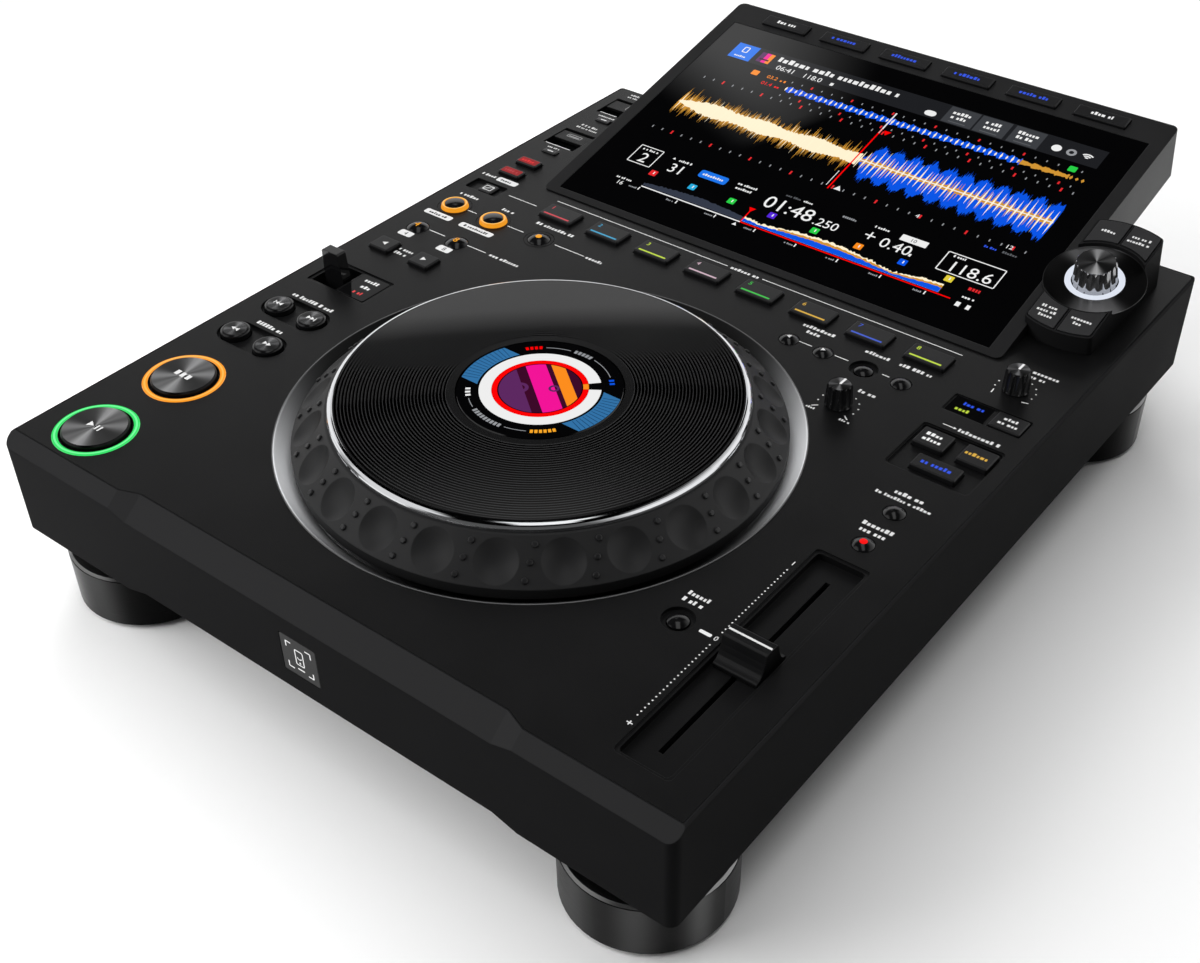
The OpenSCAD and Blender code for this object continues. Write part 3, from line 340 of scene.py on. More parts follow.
def tone(red, green, blue):
    # a colour as a screen shows it, 0 to 255, turned into light
    parts = []
    for part in (red, green, blue):
        share = part / 255
        parts.append(share / 12.92 if share <= 0.04045 else ((share + 0.055) / 1.055) ** 2.4)
    return tuple(parts)


def newFinish(name, colour, roughness, metallic=0.0, specular=0.5, coat=0.0):
    finish = bpy.data.materials.new(name)
    finish.use_nodes = True
    finish.diffuse_color = (*colour, 1)
    shader = finish.node_tree.nodes["Principled BSDF"]
    values = {"Base Color": (*colour, 1), "Roughness": roughness, "Metallic": metallic,
              "Specular IOR Level": specular, "Coat Weight": coat, "Coat Roughness": 0.05}
    for key, value in values.items():
        shader.inputs[key].default_value = value
    return finish, finish.node_tree, shader


def noiseOf(tree, perMetre, detail=3.0, stretch=None):
    place = addNode(tree, "TexCoord")
    noise = addNode(tree, "TexNoise", Scale=perMetre, Detail=detail)
    source = place.outputs["Object"]
    if stretch:
        mapping = addNode(tree, "Mapping")
        mapping.inputs["Scale"].default_value = stretch
        wire(tree, source, mapping.inputs[0])
        source = mapping.outputs[0]
    wire(tree, source, noise.inputs["Vector"])
    return noise.outputs["Fac"]


def mixColour(tree, share, dark, light):
    # dark and light are colours, or sockets that carry one
    mix = addNode(tree, "Mix", data_type="RGBA")
    for slot, colour in ((6, dark), (7, light)):
        if isinstance(colour, (tuple, list)):
            mix.inputs[slot].default_value = (*colour, 1)
        else:
            wire(tree, colour, mix.inputs[slot])
    wire(tree, share, mix.inputs[0])
    return mix.outputs[2]


def addBump(tree, shader, source, depth, edge=0.0):
    bump = addNode(tree, "Bump", Distance=depth)
    wire(tree, source, bump.inputs["Height"])
    if edge:
        soften = addNode(tree, "Bevel", samples=4)
        soften.inputs["Radius"].default_value = edge
        wire(tree, soften.outputs[0], bump.inputs["Normal"])
    wire(tree, bump.outputs[0], shader.inputs["Normal"])


def coordinateOf(tree, axis="Z"):
    place = addNode(tree, "TexCoord")
    split = addNode(tree, "SeparateXYZ")
    wire(tree, place.outputs["Object"], split.inputs[0])
    return split.outputs[axis]


def tiltOf(tree):
    # which way a face looks: 1 is up, 0 is level
    split = addNode(tree, "SeparateXYZ")
    wire(tree, addNode(tree, "NewGeometry").outputs["Normal"], split.inputs[0])
    return split.outputs["Z"]


# broad soft patches to the metre, and how far they change the shine of plastic and of lit faces
patches = {"perMetre": 38.0, "detail": 4.0, "shine": 0.05, "litPerMetre": 90.0, "litShine": 0.02}


def grainFinish(name, colour, roughness, grain, depth, edge=0.0, specular=0.3, coat=0.0, vary=0.2,
                metallic=0.0):
    # moulded plastic or rubber: fine grain, slightly uneven colour and shine
    finish, tree, shader = newFinish(name, colour, roughness, metallic, specular, coat)
    broad = noiseOf(tree, patches["perMetre"], patches["detail"])
    dark = [c * (1 - vary) for c in colour]
    light = [c * (1 + vary) for c in colour]
    wire(tree, mixColour(tree, broad, dark, light), shader.inputs["Base Color"])
    shine = patches["shine"]
    wire(tree, addRange(tree, broad, 0, 1, roughness - shine, roughness + shine), shader.inputs["Roughness"])
    if depth:
        addBump(tree, shader, noiseOf(tree, grain, 2.0), depth, edge)
    return finish


def glowFinish(name, colour, roughness=0.5, specular=0.2):
    # a face that gives light, nearly black by itself
    finish, tree, shader = newFinish(name, [c * 0.02 for c in colour], roughness, 0.0, specular)
    shader.inputs["Emission Color"].default_value = (*colour, 1)
    shader.inputs["Emission Strength"].default_value = 1.0
    broad = noiseOf(tree, patches["litPerMetre"], 2.0)
    shine = patches["litShine"]
    wire(tree, addRange(tree, broad, 0, 1, max(roughness - shine, 0.0), roughness + shine),
         shader.inputs["Roughness"])
    return finish


def radiusFrom(tree, centre, axis=up):
    # distance from an axis through centre
    place = addNode(tree, "TexCoord")
    shift = addNode(tree, "VectorMath", operation="SUBTRACT")
    shift.inputs[1].default_value = centre
    cross = addNode(tree, "VectorMath", operation="CROSS_PRODUCT")
    cross.inputs[1].default_value = axis
    length = addNode(tree, "VectorMath", operation="LENGTH")
    wire(tree, place.outputs["Object"], shift.inputs[0])
    wire(tree, shift.outputs[0], cross.inputs[0])
    wire(tree, cross.outputs[0], length.inputs[0])
    return length.outputs["Value"]


# painted highlights: wedges lighter than the rest of a turned face fan out from its axis, drawn in its
# base colour. Each has its angle from +X, its sharpness and its share
fans = {
    "cap": {"wedges": ((110, 18, 1.0), (37, 26, 0.4), (75, 60, 0.22)), "dark": 0.09, "both": True},
    "cone": {"wedges": ((236, 14, 1.0), (28, 14, 1.0)), "dark": 0.004, "both": False},
    "dish": {"wedges": ((302, 16, 1.0), (322, 60, 0.7), (275, 40, 0.5)), "dark": 0.05, "both": True},
    "foot": {"wedges": ((62, 40, 0.06), (20, 70, 0.09), (104, 40, 0.04)), "dark": 0.004, "both": True},
}


def fanOf(tree, across, along, fan):
    # the share of painted highlight at each angle round the axis
    angle = addMath(tree, "ARCTAN2", along, across)
    total = fan["dark"]
    for turn, sharp, share in fan["wedges"]:
        side = addMath(tree, "COSINE", addMath(tree, "SUBTRACT", angle, math.radians(turn)))
        side = addMath(tree, "ABSOLUTE", side) if fan["both"] else addMath(tree, "MAXIMUM", side, 0.0)
        wedge = addMath(tree, "POWER", side, sharp)
        total = addMath(tree, "ADD", addMath(tree, "MULTIPLY", wedge, share), total)
    return addMath(tree, "MINIMUM", total, 1.0)


def fanColour(tree, centre, kind, colour):
    # a colour that is black away from its painted highlight wedges
    across = addMath(tree, "SUBTRACT", coordinateOf(tree, "X"), centre[0])
    along = addMath(tree, "SUBTRACT", coordinateOf(tree, "Y"), centre[1])
    return mixColour(tree, fanOf(tree, across, along, fans[kind]), (0.0, 0.0, 0.0), colour)


def stretchShine(tree, shader, strength):
    # stretches reflections across the turning marks
    shader.inputs["Anisotropic"].default_value = strength
    shader.inputs["Anisotropic Rotation"].default_value = 0.25
    tangent = addNode(tree, "Tangent", direction_type="RADIAL", axis="Z")
    wire(tree, tangent.outputs[0], shader.inputs["Tangent"])


def spunFinish(name, colour, roughness, centre, pitch, depth, metallic=1.0, anisotropic=0.9, axis=up,
               fan=None, lines=None):
    # turned or spun surface with fine rings round an axis; its highlight wedges and highlight lines are painted on
    # in its base colour
    finish, tree, shader = newFinish(name, colour, roughness, metallic)
    radius = radiusFrom(tree, centre, axis)
    rings = addMath(tree, "SINE", addMath(tree, "MULTIPLY", radius, 2 * math.pi / pitch))
    if depth:
        addBump(tree, shader, rings, depth)
    if fan:
        wire(tree, fanColour(tree, centre, fan, colour), shader.inputs["Base Color"])
    if lines:
        paint = mixColour(tree, addRange(tree, rings, 0.45, 1.0), colour, lines)
        wire(tree, paint, shader.inputs["Base Color"])
    wire(tree, addRange(tree, rings, -1, 1, roughness * 0.92, roughness * 1.08), shader.inputs["Roughness"])
    stretchShine(tree, shader, anisotropic)
    return finish, tree, shader, radius


# name in the file, colour, roughness, grains to the metre, their depth, and what else is set
moulded = {
    "case": ("caseBlack", (0.0108, 0.0108, 0.0112), 0.5, 2600, 0.00002, {"edge": 0.0006, "specular": 0.01}),
    "deck": ("deckGrain", (0.0045, 0.0045, 0.0047), 0.32, 3600, 0.00005,
             {"edge": 0.0004, "specular": 0.155}),
    "housing": ("housingGrain", (0.0105, 0.0105, 0.0109), 0.36, 3000, 0.00003,
                {"edge": 0.0006, "specular": 0.13}),
    "pan": ("panPaint", (0.005, 0.005, 0.005), 0.6, 1800, 0.00004, {}),
    "rubber": ("fingerRubber", (0.0115, 0.0115, 0.0119), 0.5, 2400, 0.00003,
               {"edge": 0.0007, "specular": 0.35}),
    "pip": ("pipRubber", (0.01, 0.01, 0.0105), 0.3, 2400, 0.00001, {"edge": 0.0003, "specular": 0.5}),
    "key": ("keySatin", (0.0065, 0.0065, 0.007), 0.34, 3000, 0.00003, {"edge": 0.0005}),
    "podKey": ("podKeySatin", (0.017, 0.017, 0.0178), 0.42, 2600, 0.00004, {"edge": 0.0004}),
    "keyGloss": ("keyGloss", (0.004, 0.004, 0.0043), 0.09, 900, 0.000004,
                 {"edge": 0.0004, "specular": 0.45}),
    "fader": ("faderSatin", (0.0045, 0.0045, 0.0048), 0.3, 2600, 0.00001,
              {"edge": 0.0006, "specular": 0.28}),
    "knob": ("knobGloss", (0.006, 0.006, 0.0064), 0.2, 700, 0.000004, {"edge": 0.0002, "coat": 0.3}),
    "glass": ("blackGlass", (0.0012, 0.0012, 0.0014), 0.02, 60, 0.0, {"specular": 0.5, "vary": 0.1}),
    "window": ("windowGloss", (0.002, 0.002, 0.0022), 0.06, 60, 0.0, {"specular": 0.16, "vary": 0.1}),
    "screw": ("screwBlack", (0.02, 0.02, 0.02), 0.35, 2000, 0.00001, {"metallic": 0.8}),
    "gripChrome": ("gripChrome", (0.42, 0.42, 0.43), 0.08, 700, 0.000002, {"metallic": 0.95}),
    "printWhite": ("printWhite", (0.62, 0.62, 0.62), 0.55, 3000, 0.00001, {"vary": 0.05}),
    "printGrey": ("printGrey", (0.3, 0.3, 0.3), 0.55, 3000, 0.00001, {"vary": 0.05}),
    "printDark": ("printDark", (0.01, 0.01, 0.01), 0.5, 3000, 0.00001, {"vary": 0.05}),
}
finishes = {key: grainFinish(*values, **more) for key, (*values, more) in moulded.items()}

# lit colours, as the eye sees them
lit = {
    "white": (236, 236, 236), "grey": (150, 152, 156), "dimGrey": (92, 94, 98), "panel": (30, 31, 34),
    "panelEdge": (60, 62, 66), "red": (226, 42, 46), "hotRed": (251, 3, 4), "deepRed": (150, 22, 26),
    "orange": (206, 146, 52), "brightOrange": (250, 140, 30), "amber": (250, 168, 40),
    "cream": (255, 241, 208), "waveBlue": (12, 84, 226), "pillBlue": (30, 116, 232), "cyan": (40, 170, 220),
    "green": (40, 205, 70), "lime": (190, 215, 70), "violet": (84, 40, 214), "yellow": (225, 205, 60),
    "menuBlue": (48, 84, 224), "arcBlue": (50, 112, 164), "pink": (240, 20, 150), "plum": (92, 40, 96),
    "wine": (60, 10, 40), "slate": (52, 58, 72), "ribBlue": (26, 66, 104),
    "ringGreen": (58, 224, 108), "ringAmber": (255, 158, 44), "skirtAmber": (238, 152, 30),
    "skirtLight": (255, 206, 108), "dialWhite": (222, 228, 240), "slipRed": (176, 60, 66),
    "pinkWhite": (205, 176, 190),
    "keyBlue": (66, 92, 200), "keyCyan": (70, 160, 200), "keyRed": (205, 74, 84), "keyOrange": (214, 170, 66),
    "keyGreen": (64, 190, 76),
}
screenGloss = {"roughness": 0.02, "specular": 0.5}  # lit marks that lie under glass
for name, colour in lit.items():
    finishes[name] = glowFinish(name + "Light", tone(*colour))
    finishes[name + "Glass"] = glowFinish(name + "UnderGlass", tone(*colour), **screenGloss)
for name, colour in (("ringGreenRim", (120, 255, 160)), ("ringAmberRim", (255, 190, 90))):
    finishes[name] = glowFinish(name, tone(*colour), **screenGloss)
print("finishes mixed:", len(finishes))


def addPiece(name, points, faces, finish, body="root", sharp=0, replaces=None):
    mesh = bpy.data.meshes.new(name)
    mesh.from_pydata(points, [], faces)
    shape = bmesh.new()
    shape.from_mesh(mesh)
    bmesh.ops.recalc_face_normals(shape, faces=shape.faces)
    shape.to_mesh(mesh)
    shape.free()
    mesh.materials.append(finish)
    if sharp:
        mesh.shade_smooth()
        mesh.set_sharp_from_angle(angle=math.radians(sharp))
    piece = addObject(name, mesh)
    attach(piece, body)
    if replaces:
        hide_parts(replaces)
    return piece


def ringPoints(x, y, radius, fromAngle, toAngle, steps):
    angles = [math.radians(fromAngle + (toAngle - fromAngle) * i / steps) for i in range(steps + 1)]
    return [(x + radius * math.cos(a), y + radius * math.sin(a)) for a in angles]


def fullRing(x, y, radius, steps):
    return ringPoints(x, y, radius, 0, 360 - 360 / steps, steps - 1)


def sideFaces(a, b, n):
    # the faces between two rings of n points that start at a and b
    return [(a + i, a + (i + 1) % n, b + (i + 1) % n, b + i) for i in range(n)]


def roundedLine(x, y, wide, tall, corner, steps=4):
    # outline of a rectangle with round corners
    line = []
    corner = min(corner, wide / 2 - 0.001, tall / 2 - 0.001)
    for quarter, (sx, sy) in enumerate(((1, 1), (-1, 1), (-1, -1), (1, -1))):
        cx = x + sx * (wide / 2 - corner)
        cy = y + sy * (tall / 2 - corner)
        line += ringPoints(cx, cy, corner, 90 * quarter, 90 * quarter + 90, steps)
    return line


digitShapes = {}


def digitShape(text):
    # plain numerals as flat outlines, one unit tall: points, faces and rim edges
    if text not in digitShapes:
        curve = bpy.data.curves.new("digits", "FONT")
        curve.body = text
        curve.resolution_u = 3
        holder = bpy.data.objects.new("digits", curve)
        mesh = bpy.data.meshes.new_from_object(holder)
        shape = bmesh.new()
        shape.from_mesh(mesh)
        bmesh.ops.remove_doubles(shape, verts=shape.verts, dist=0.0001)
        low = [min(v.co[i] for v in shape.verts) for i in (0, 1)]
        high = [max(v.co[i] for v in shape.verts) for i in (0, 1)]
        tall = high[1] - low[1]
        points = [((v.co.x - (low[0] + high[0]) / 2) / tall, (v.co.y - low[1]) / tall - 0.5)
                  for v in shape.verts]
        faces = [[v.index for v in f.verts] for f in shape.faces]
        rim = [[v.index for v in e.verts] for e in shape.edges if len(e.link_faces) == 1]
        digitShapes[text] = (points, faces, rim)
        shape.free()
        bpy.data.objects.remove(holder)
        bpy.data.curves.remove(curve)
        bpy.data.meshes.remove(mesh)
    return digitShapes[text]


class Ink:
    # thin raised marks of one colour on one body, gathered into one piece
    def __init__(self, name, finish, body, layer, slot):
        self.name = name
        self.finish = finish
        self.body = body
        self.slot = slot
        self.low = 0.01 + 0.02 * layer
        self.high = self.low + 0.025
        self.points = []
        self.faces = []

    def add(self, points, faces):
        start = len(self.points)
        self.points += points
        self.faces += [[start + i for i in face] for face in faces]

    def strip(self, spot, inner, outer, closed=False):
        # a band between two lines with as many points
        n = len(inner)
        points = []
        for h in (self.low, self.high):
            points += [spot.at(x, y, h) for x, y in inner] + [spot.at(x, y, h) for x, y in outer]
        faces = [] if closed else [(0, n, 3 * n, 2 * n), (n - 1, 2 * n - 1, 4 * n - 1, 3 * n - 1)]
        for i in range(n if closed else n - 1):
            j = (i + 1) % n
            faces += [(i, j, n + j, n + i), (2 * n + i, 2 * n + j, 3 * n + j, 3 * n + i),
                      (i, j, 2 * n + j, 2 * n + i), (n + i, n + j, 3 * n + j, 3 * n + i)]
        self.add(points, faces)

    def patch(self, spot, outline):
        n = len(outline)
        points = [spot.at(x, y, h) for h in (self.low, self.high) for x, y in outline]
        faces = [tuple(range(n)), tuple(range(n, 2 * n))]
        self.add(points, faces + sideFaces(0, n, n))

    def bar(self, spot, x, y, wide, tall, turn=0.0):
        c, s = math.cos(math.radians(turn)), math.sin(math.radians(turn))
        corners = [(-wide / 2, -tall / 2), (wide / 2, -tall / 2), (wide / 2, tall / 2), (-wide / 2, tall / 2)]
        self.patch(spot, [(x + c * a - s * b, y + s * a + c * b) for a, b in corners])

    def disc(self, spot, x, y, radius, steps=20):
        self.patch(spot, fullRing(x, y, radius, steps))

    def arc(self, spot, x, y, inner, outer, fromAngle=0, toAngle=360, steps=48):
        closed = abs(toAngle - fromAngle) >= 360
        last = toAngle - (toAngle - fromAngle) / steps if closed else toAngle
        count = steps - 1 if closed else steps
        self.strip(spot, ringPoints(x, y, inner, fromAngle, last, count),
                   ringPoints(x, y, outer, fromAngle, last, count), closed)

    def frame(self, spot, x, y, wide, tall, line, corner=0.3):
        inner = roundedLine(x, y, wide - 2 * line, tall - 2 * line, max(corner - line, 0.05))
        self.strip(spot, inner, roundedLine(x, y, wide, tall, corner), True)

    def pill(self, spot, x, y, wide, tall, corner=None):
        self.patch(spot, roundedLine(x, y, wide, tall, tall / 2 if corner is None else corner))

    def triangle(self, spot, x, y, size, turn=0.0):
        self.patch(spot, ringPoints(x, y, size, turn, turn + 240, 2))

    def greek(self, spot, x, y, wide, tall):
        # a run of plain blocks where a label stands
        at = x - wide / 2
        end = x + wide / 2
        while at < end - 0.3 * tall:
            block = min(tall * random.uniform(0.42, 0.72), end - at)
            high = tall * random.choice((0.72, 0.72, 1.0))
            self.bar(spot, at + block / 2, y - (tall - high) / 2, block, high)
            at += block + tall * random.choice((0.26, 0.26, 0.26, 0.26, 0.75))

    def greekArc(self, spot, radius, middleAngle, span, tall):
        count = max(int(math.radians(span) * radius / (0.85 * tall)), 1)
        for i in range(count):
            angle = middleAngle + span * ((i + 0.5) / count - 0.5)
            reach = math.radians(angle)
            self.bar(spot, radius * math.cos(reach), radius * math.sin(reach), 0.6 * tall, tall, angle - 90)

    def digits(self, spot, text, x, y, tall):
        flat, faces, rim = digitShape(text)
        n = len(flat)
        points = [spot.at(x + tall * a, y + tall * b, h) for h in (self.low, self.high) for a, b in flat]
        both = faces + [[n + i for i in face] for face in faces]
        self.add(points, both + [(a, b, n + b, n + a) for a, b in rim])

    def turn(self, spot, x, y, section, steps=24):
        # a closed round body; the section starts and ends on its axis
        inside = section[1:-1]
        points = [spot.at(x, y, section[0][1]), spot.at(x, y, section[-1][1])]
        for radius, h in inside:
            points += [spot.at(a, b, h) for a, b in fullRing(x, y, radius, steps)]
        faces = []
        rows = len(inside)
        for i in range(steps):
            j = (i + 1) % steps
            faces += [(0, 2 + i, 2 + j), (1, 2 + (rows - 1) * steps + i, 2 + (rows - 1) * steps + j)]
            for row in range(rows - 1):
                a = 2 + row * steps
                b = a + steps
                faces.append((a + i, a + j, b + j, b + i))
        self.add(points, faces)

    def lay(self, sharp=0):
        return addPiece(self.name, self.points, self.faces, self.finish, self.body, sharp)


inks = {}


def ink(colour, body="root", layer=0, slot="light_guide"):
    key = f"{body}_{colour}_{layer}"
    if key not in inks:
        inks[key] = Ink(key, finishes[colour], body, layer, slot)
    return inks[key]


def drawRows(spot, rows, body="root"):
    # each row has a colour, a layer, the kind of mark and its numbers
    for colour, layer, kind, *numbers in rows:
        getattr(ink(colour, body, layer), kind)(spot, *numbers)


def turned(name, spot, section, finish, body="root", steps=96, sharp=30, replaces=None):
    # a ring whose closed section is given as radius and height, turned round the spot's axis
    points = []
    faces = []
    rows = len(section)
    for radius, h in section:
        points += [spot.at(a, b, h) for a, b in fullRing(0, 0, radius, steps)]
    for row in range(rows):
        faces += sideFaces(row * steps, (row + 1) % rows * steps, steps)
    return addPiece(name, points, faces, finish, body, sharp, replaces)


def plate(name, spot, wide, tall, corner, low, high, chamfer):
    # a glossy panel with round corners and a chamfered upper edge
    line = roundedLine(0, 0, wide, tall, corner)
    upper = roundedLine(0, 0, wide - 2 * chamfer, tall - 2 * chamfer, max(corner - chamfer, 0.05))
    n = len(line)
    points = [spot.at(x, y, h) for edge, h in ((line, low), (line, high - chamfer), (upper, high))
              for x, y in edge]
    faces = [tuple(range(n)), tuple(range(2 * n, 3 * n))] + sideFaces(0, n, n) + sideFaces(n, 2 * n, n)
    addPiece(name, points, faces, finishes["window"], "root", 30, "light_guides")


# what is printed on the deck: blocks of lettering, lines, and numbered pills
deckPrint = {
    "labels": [
        (-137.5, -57, 25, 2.2), (-138, -82, 15, 2.2), (-136, 0.4, 8, 2), (-136, -3.2, 8, 2),
        (-94.5, 21, 17, 2), (-147.5, 57, 12, 2.1), (-123, 57, 7, 2.1), (-94, 57, 22, 2.1), (-61.7, 46, 9, 2),
        (-154.2, 79, 9, 1.8), (-0.5, 79, 15, 2.1), (52, 59, 16, 2.1), (52, 55.2, 8, 2.1),
        (82, 57.5, 12, 2.1), (100, 57.5, 15, 2.1), (93, 31, 9, 2.2), (79.5, 9.2, 5, 1.3), (95.5, 9.2, 6, 1.3),
        (145.5, 86, 12, 2.1), (143, 82.2, 7, 2.1), (143.5, 31.5, 19, 2.1),
        (139.5, -17, 12, 2.2), (139.3, -20.9, 24, 1.7), (139.5, -39.6, 13, 2.2), (139.5, -43.4, 11, 2.2),
        (109.5, -109.2, 10, 2.1), (109.5, -112.9, 10, 2.1),
        (-148, 150.7, 10, 1.7), (-147.5, 147.6, 13, 1.4), (-150, 194.6, 8, 1.6), (-150, 191.6, 8, 1.4),
        (-147.5, 121, 8, 1.3), (-148, 165, 10, 1.3),
    ],
    "lines": [
        (-141, -131, 21), (-117, -105.5, 21), (-139, -133.5, 46), (-114, -104, 46), (-85, -67.5, 46),
        (-133, -115.3, 69), (-110.4, -10, 79), (9, 110.2, 79), (49.6, 56, 46.6), (67.2, 74, 46.6),
        (90.3, 93.7, 46.6), (127, 131.5, 31.5), (-155.5, -139.5, 124), (-155, -144, 168.5),
    ],
    "lineWide": 0.45,
    "arrow": (132.2, 31.5, 0.9, 0),
    # pills: place, size and the numeral or the length of the label in them
    "pills": [(-147.5, 12, 8, 4.4, "4"), (-123.3, 12, 8, 4.4, "8")],
    "blockPills": [(-147.5, 34.3, 16.5, 4, 11), (-123.5, 34.3, 20, 4, 15), (-142.7, 79, 12.5, 4, 8)],
    "pillCorner": 1.1, "numberTall": 2.6, "labelTall": 1.7,
}


def printDeck():
    white = ink("printWhite")
    for label in deckPrint["labels"]:
        white.greek(deck, *label)
    for start, end, y in deckPrint["lines"]:
        white.bar(deck, (start + end) / 2, y, end - start, deckPrint["lineWide"])
    white.triangle(deck, *deckPrint["arrow"])
    for *pill, number in deckPrint["pills"]:
        white.pill(deck, *pill, deckPrint["pillCorner"])
        ink("printDark", layer=1).digits(deck, number, *pill[:2], deckPrint["numberTall"])
    for *pill, inner in deckPrint["blockPills"]:
        white.pill(deck, *pill, deckPrint["pillCorner"])
        ink("printDark", layer=1).greek(deck, *pill[:2], inner, deckPrint["labelTall"])


tempoScale = {"x": 125.4, "zero": -122.7, "step": 2.0, "dots": 21, "first": 3.7, "dot": 0.34,
              "top": -74.8, "foot": -170.6, "plusArm": (0.45, 0.75), "number": 2.2, "light": (5, 1.5, 0.5)}


def printTempoScale():
    white = ink("printWhite")
    t = tempoScale
    for side in (-1, 1):
        for i in range(t["dots"]):
            white.disc(deck, t["x"], t["zero"] + side * (t["first"] + i * t["step"]), t["dot"], 10)
    white.bar(deck, t["x"], t["top"], 0.4, 2.2)
    white.bar(deck, t["x"], t["foot"], 2.4, 0.45)
    for shift in (0.6, -0.6):
        white.bar(deck, t["x"], t["foot"] + shift, *t["plusArm"])
    white.digits(deck, "0", t["x"], t["zero"], t["number"])
    ink("whiteGlass", layer=1).pill(deck, t["x"] - 4.4, t["zero"], *t["light"])


knobScale = {"radius": 8.5, "dots": 11, "from": -130, "to": 130, "dot": 0.4, "endReach": 1.12,
             "end": (2.8, 0.55)}


def printKnobScale(node, shift):
    white = ink("printWhite")
    spot = deckAt(node)
    last = knobScale["dots"] - 1
    for i in range(knobScale["dots"]):
        turn = 90 + knobScale["from"] + (knobScale["to"] - knobScale["from"]) * i / last
        x = knobScale["radius"] * math.cos(math.radians(turn))
        y = knobScale["radius"] * math.sin(math.radians(turn))
        if i in (0, last):
            reach = knobScale["endReach"]
            white.bar(spot, x * reach, y * reach, *knobScale["end"], turn + shift)
            continue
        white.disc(spot, x, y, knobScale["dot"], 10)


# keys and buttons: what stands on each face, in mm from its middle
hotCue = {"colours": ["keyRed", "keyCyan", "lime", "pinkWhite", "keyGreen", "keyOrange", "keyBlue", "lime"],
          "line": (0, -3.7, 15, 1.0), "digit": (-6.3, 2.4, 2.6)}


def markHotCues():
    for i, colour in enumerate(hotCue["colours"]):
        body = f"hot_cue_key_{i + 1}"
        drawRows(topOf(body), [(colour, 0, "bar", *hotCue["line"]),
                               (colour, 0, "digits", str(i + 1), *hotCue["digit"])], body)


# radii of the domed faces, and a raised dot of light given as radius and height
dome = {"loop": 8.35, "small": 6.3}
dot = [(0, -0.1), (1.6, -0.1), (1.5, 0.05), (0.8, 0.07), (0, 0.08)]
jumpMarks = {"beat_jump_back_key": (0.4, 0, 1.7, 180), "beat_jump_forward_key": (-0.4, 0, 1.7, 0)}
seekMarks = {"search_back_button": 180, "search_forward_button": 0, "track_back_button": 180,
             "track_forward_button": 0}

# each row: body, radius of its domed face, colour, layer, kind of mark and its numbers
keyMarks = [
    ("call_key", 0, "printWhite", 0, "frame", 0, 0, 5.2, 4.2, 0.35, 0.5),
    ("call_key", 0, "printWhite", 1, "bar", 0, 0, 5.6, 0.4, 38),
    ("slip_key", 0, "deepRed", 0, "pill", 0, 0, 11.0, 4.8, 0.7),
    ("slip_key", 0, "slipRed", 1, "greek", 0, 0, 8.4, 1.9),
    ("quantize_key", 0, "deepRed", 0, "pill", 0, 0, 11.0, 4.8, 0.7),
    ("quantize_key", 0, "red", 1, "greek", 0, 0, 8.4, 1.9),
    ("stop_keys", 0, "printWhite", 0, "pill", 0, -22, 3.6, 0.7),
    ("stop_keys", 0, "printWhite", 0, "pill", 0, 22, 3.6, 0.7),
    ("beat_loop_4_button", dome["loop"], "amber", 7, "digits", "4", 0, 0, 3.6),
    ("beat_loop_8_button", dome["loop"], "amber", 7, "digits", "8", 0, 0, 3.6),
    ("loop_exit_button", dome["loop"], "amber", 1, "turn", 0, 0, dot),
    ("cue_call_back_button", dome["small"], "printWhite", 5, "triangle", 0, 0, 1.25, 180),
    ("cue_call_forward_button", dome["small"], "printWhite", 5, "triangle", 0, 0, 1.25, 0),
    ("master_tempo_button", dome["small"], "hotRed", 1, "turn", 0, 0, dot),
    ("jog_mode_key", 0, "printWhite", 0, "greek", 0, 1.7, 6, 1.9),
    ("jog_mode_key", 0, "printWhite", 0, "greek", 0, -1.7, 8.4, 1.9),
    ("beat_sync_key", 0, "white", 0, "greek", 0, 1.8, 8, 2.1),
    ("beat_sync_key", 0, "white", 0, "greek", 0, -1.8, 8, 2.1),
    ("master_key", 0, "keyOrange", 0, "greek", 0, 0, 10.6, 2.1),
    ("key_sync_key", 0, "menuBlue", 0, "greek", 0, 0, 13.4, 2.3),
]


def markKeys():
    for body, numbers in jumpMarks.items():
        ink("printWhite", body).triangle(topOf(body), *numbers)
    for body, turn in seekMarks.items():
        spot = topOf(body)
        white = ink("printWhite", body)
        side = -1 if turn else 1
        for place in (-1.35, 0.75):
            white.triangle(spot, side * place, 0, 1.35, turn)
        if body.startswith("track"):
            white.bar(spot, side * 2.4, 0, 0.45, 2.4)
    for body, ball, *row in keyMarks:
        drawRows(topOf(body, ball), [row], body)


menu = {"pitch": 35.8, "keys": 6, "label": (15, 2.3), "shorter": 4}


def markMenuKeys():
    spot = slopeTopOf("menu_keys")
    last = menu["keys"] - 1
    wide, tall = menu["label"]
    for i in range(menu["keys"]):
        atEnd = i in (0, last)
        label = ink("white" if atEnd else "menuBlue", "menu_keys")
        label.greek(spot, menu["pitch"] * (i - last / 2), 0, wide - menu["shorter"] * atEnd, tall)


# each label: the side of the knob it is on, then the height and length of its lines
podMarks = {"side": 7.3, "reach": 28.6, "rise": 0.5, "tall": 1.6, "labels": [
    (-1, 1, [(0, 7)]), (1, 1, [(1.6, 9), (-1.4, 11)]), (-1, -1, [(2.6, 8), (-0.2, 10), (-3, 6)]),
    (1, -1, [(1.4, 9), (-1.4, 5)])]}


def markPodKeys():
    spot = pod.moved(0, 0, podMarks["rise"])
    for sx, sy, lines in podMarks["labels"]:
        for shift, wide in lines:
            white = ink("printWhite", "pod_keys")
            white.greek(spot, sx * podMarks["side"], sy * podMarks["reach"] + shift, wide, podMarks["tall"])


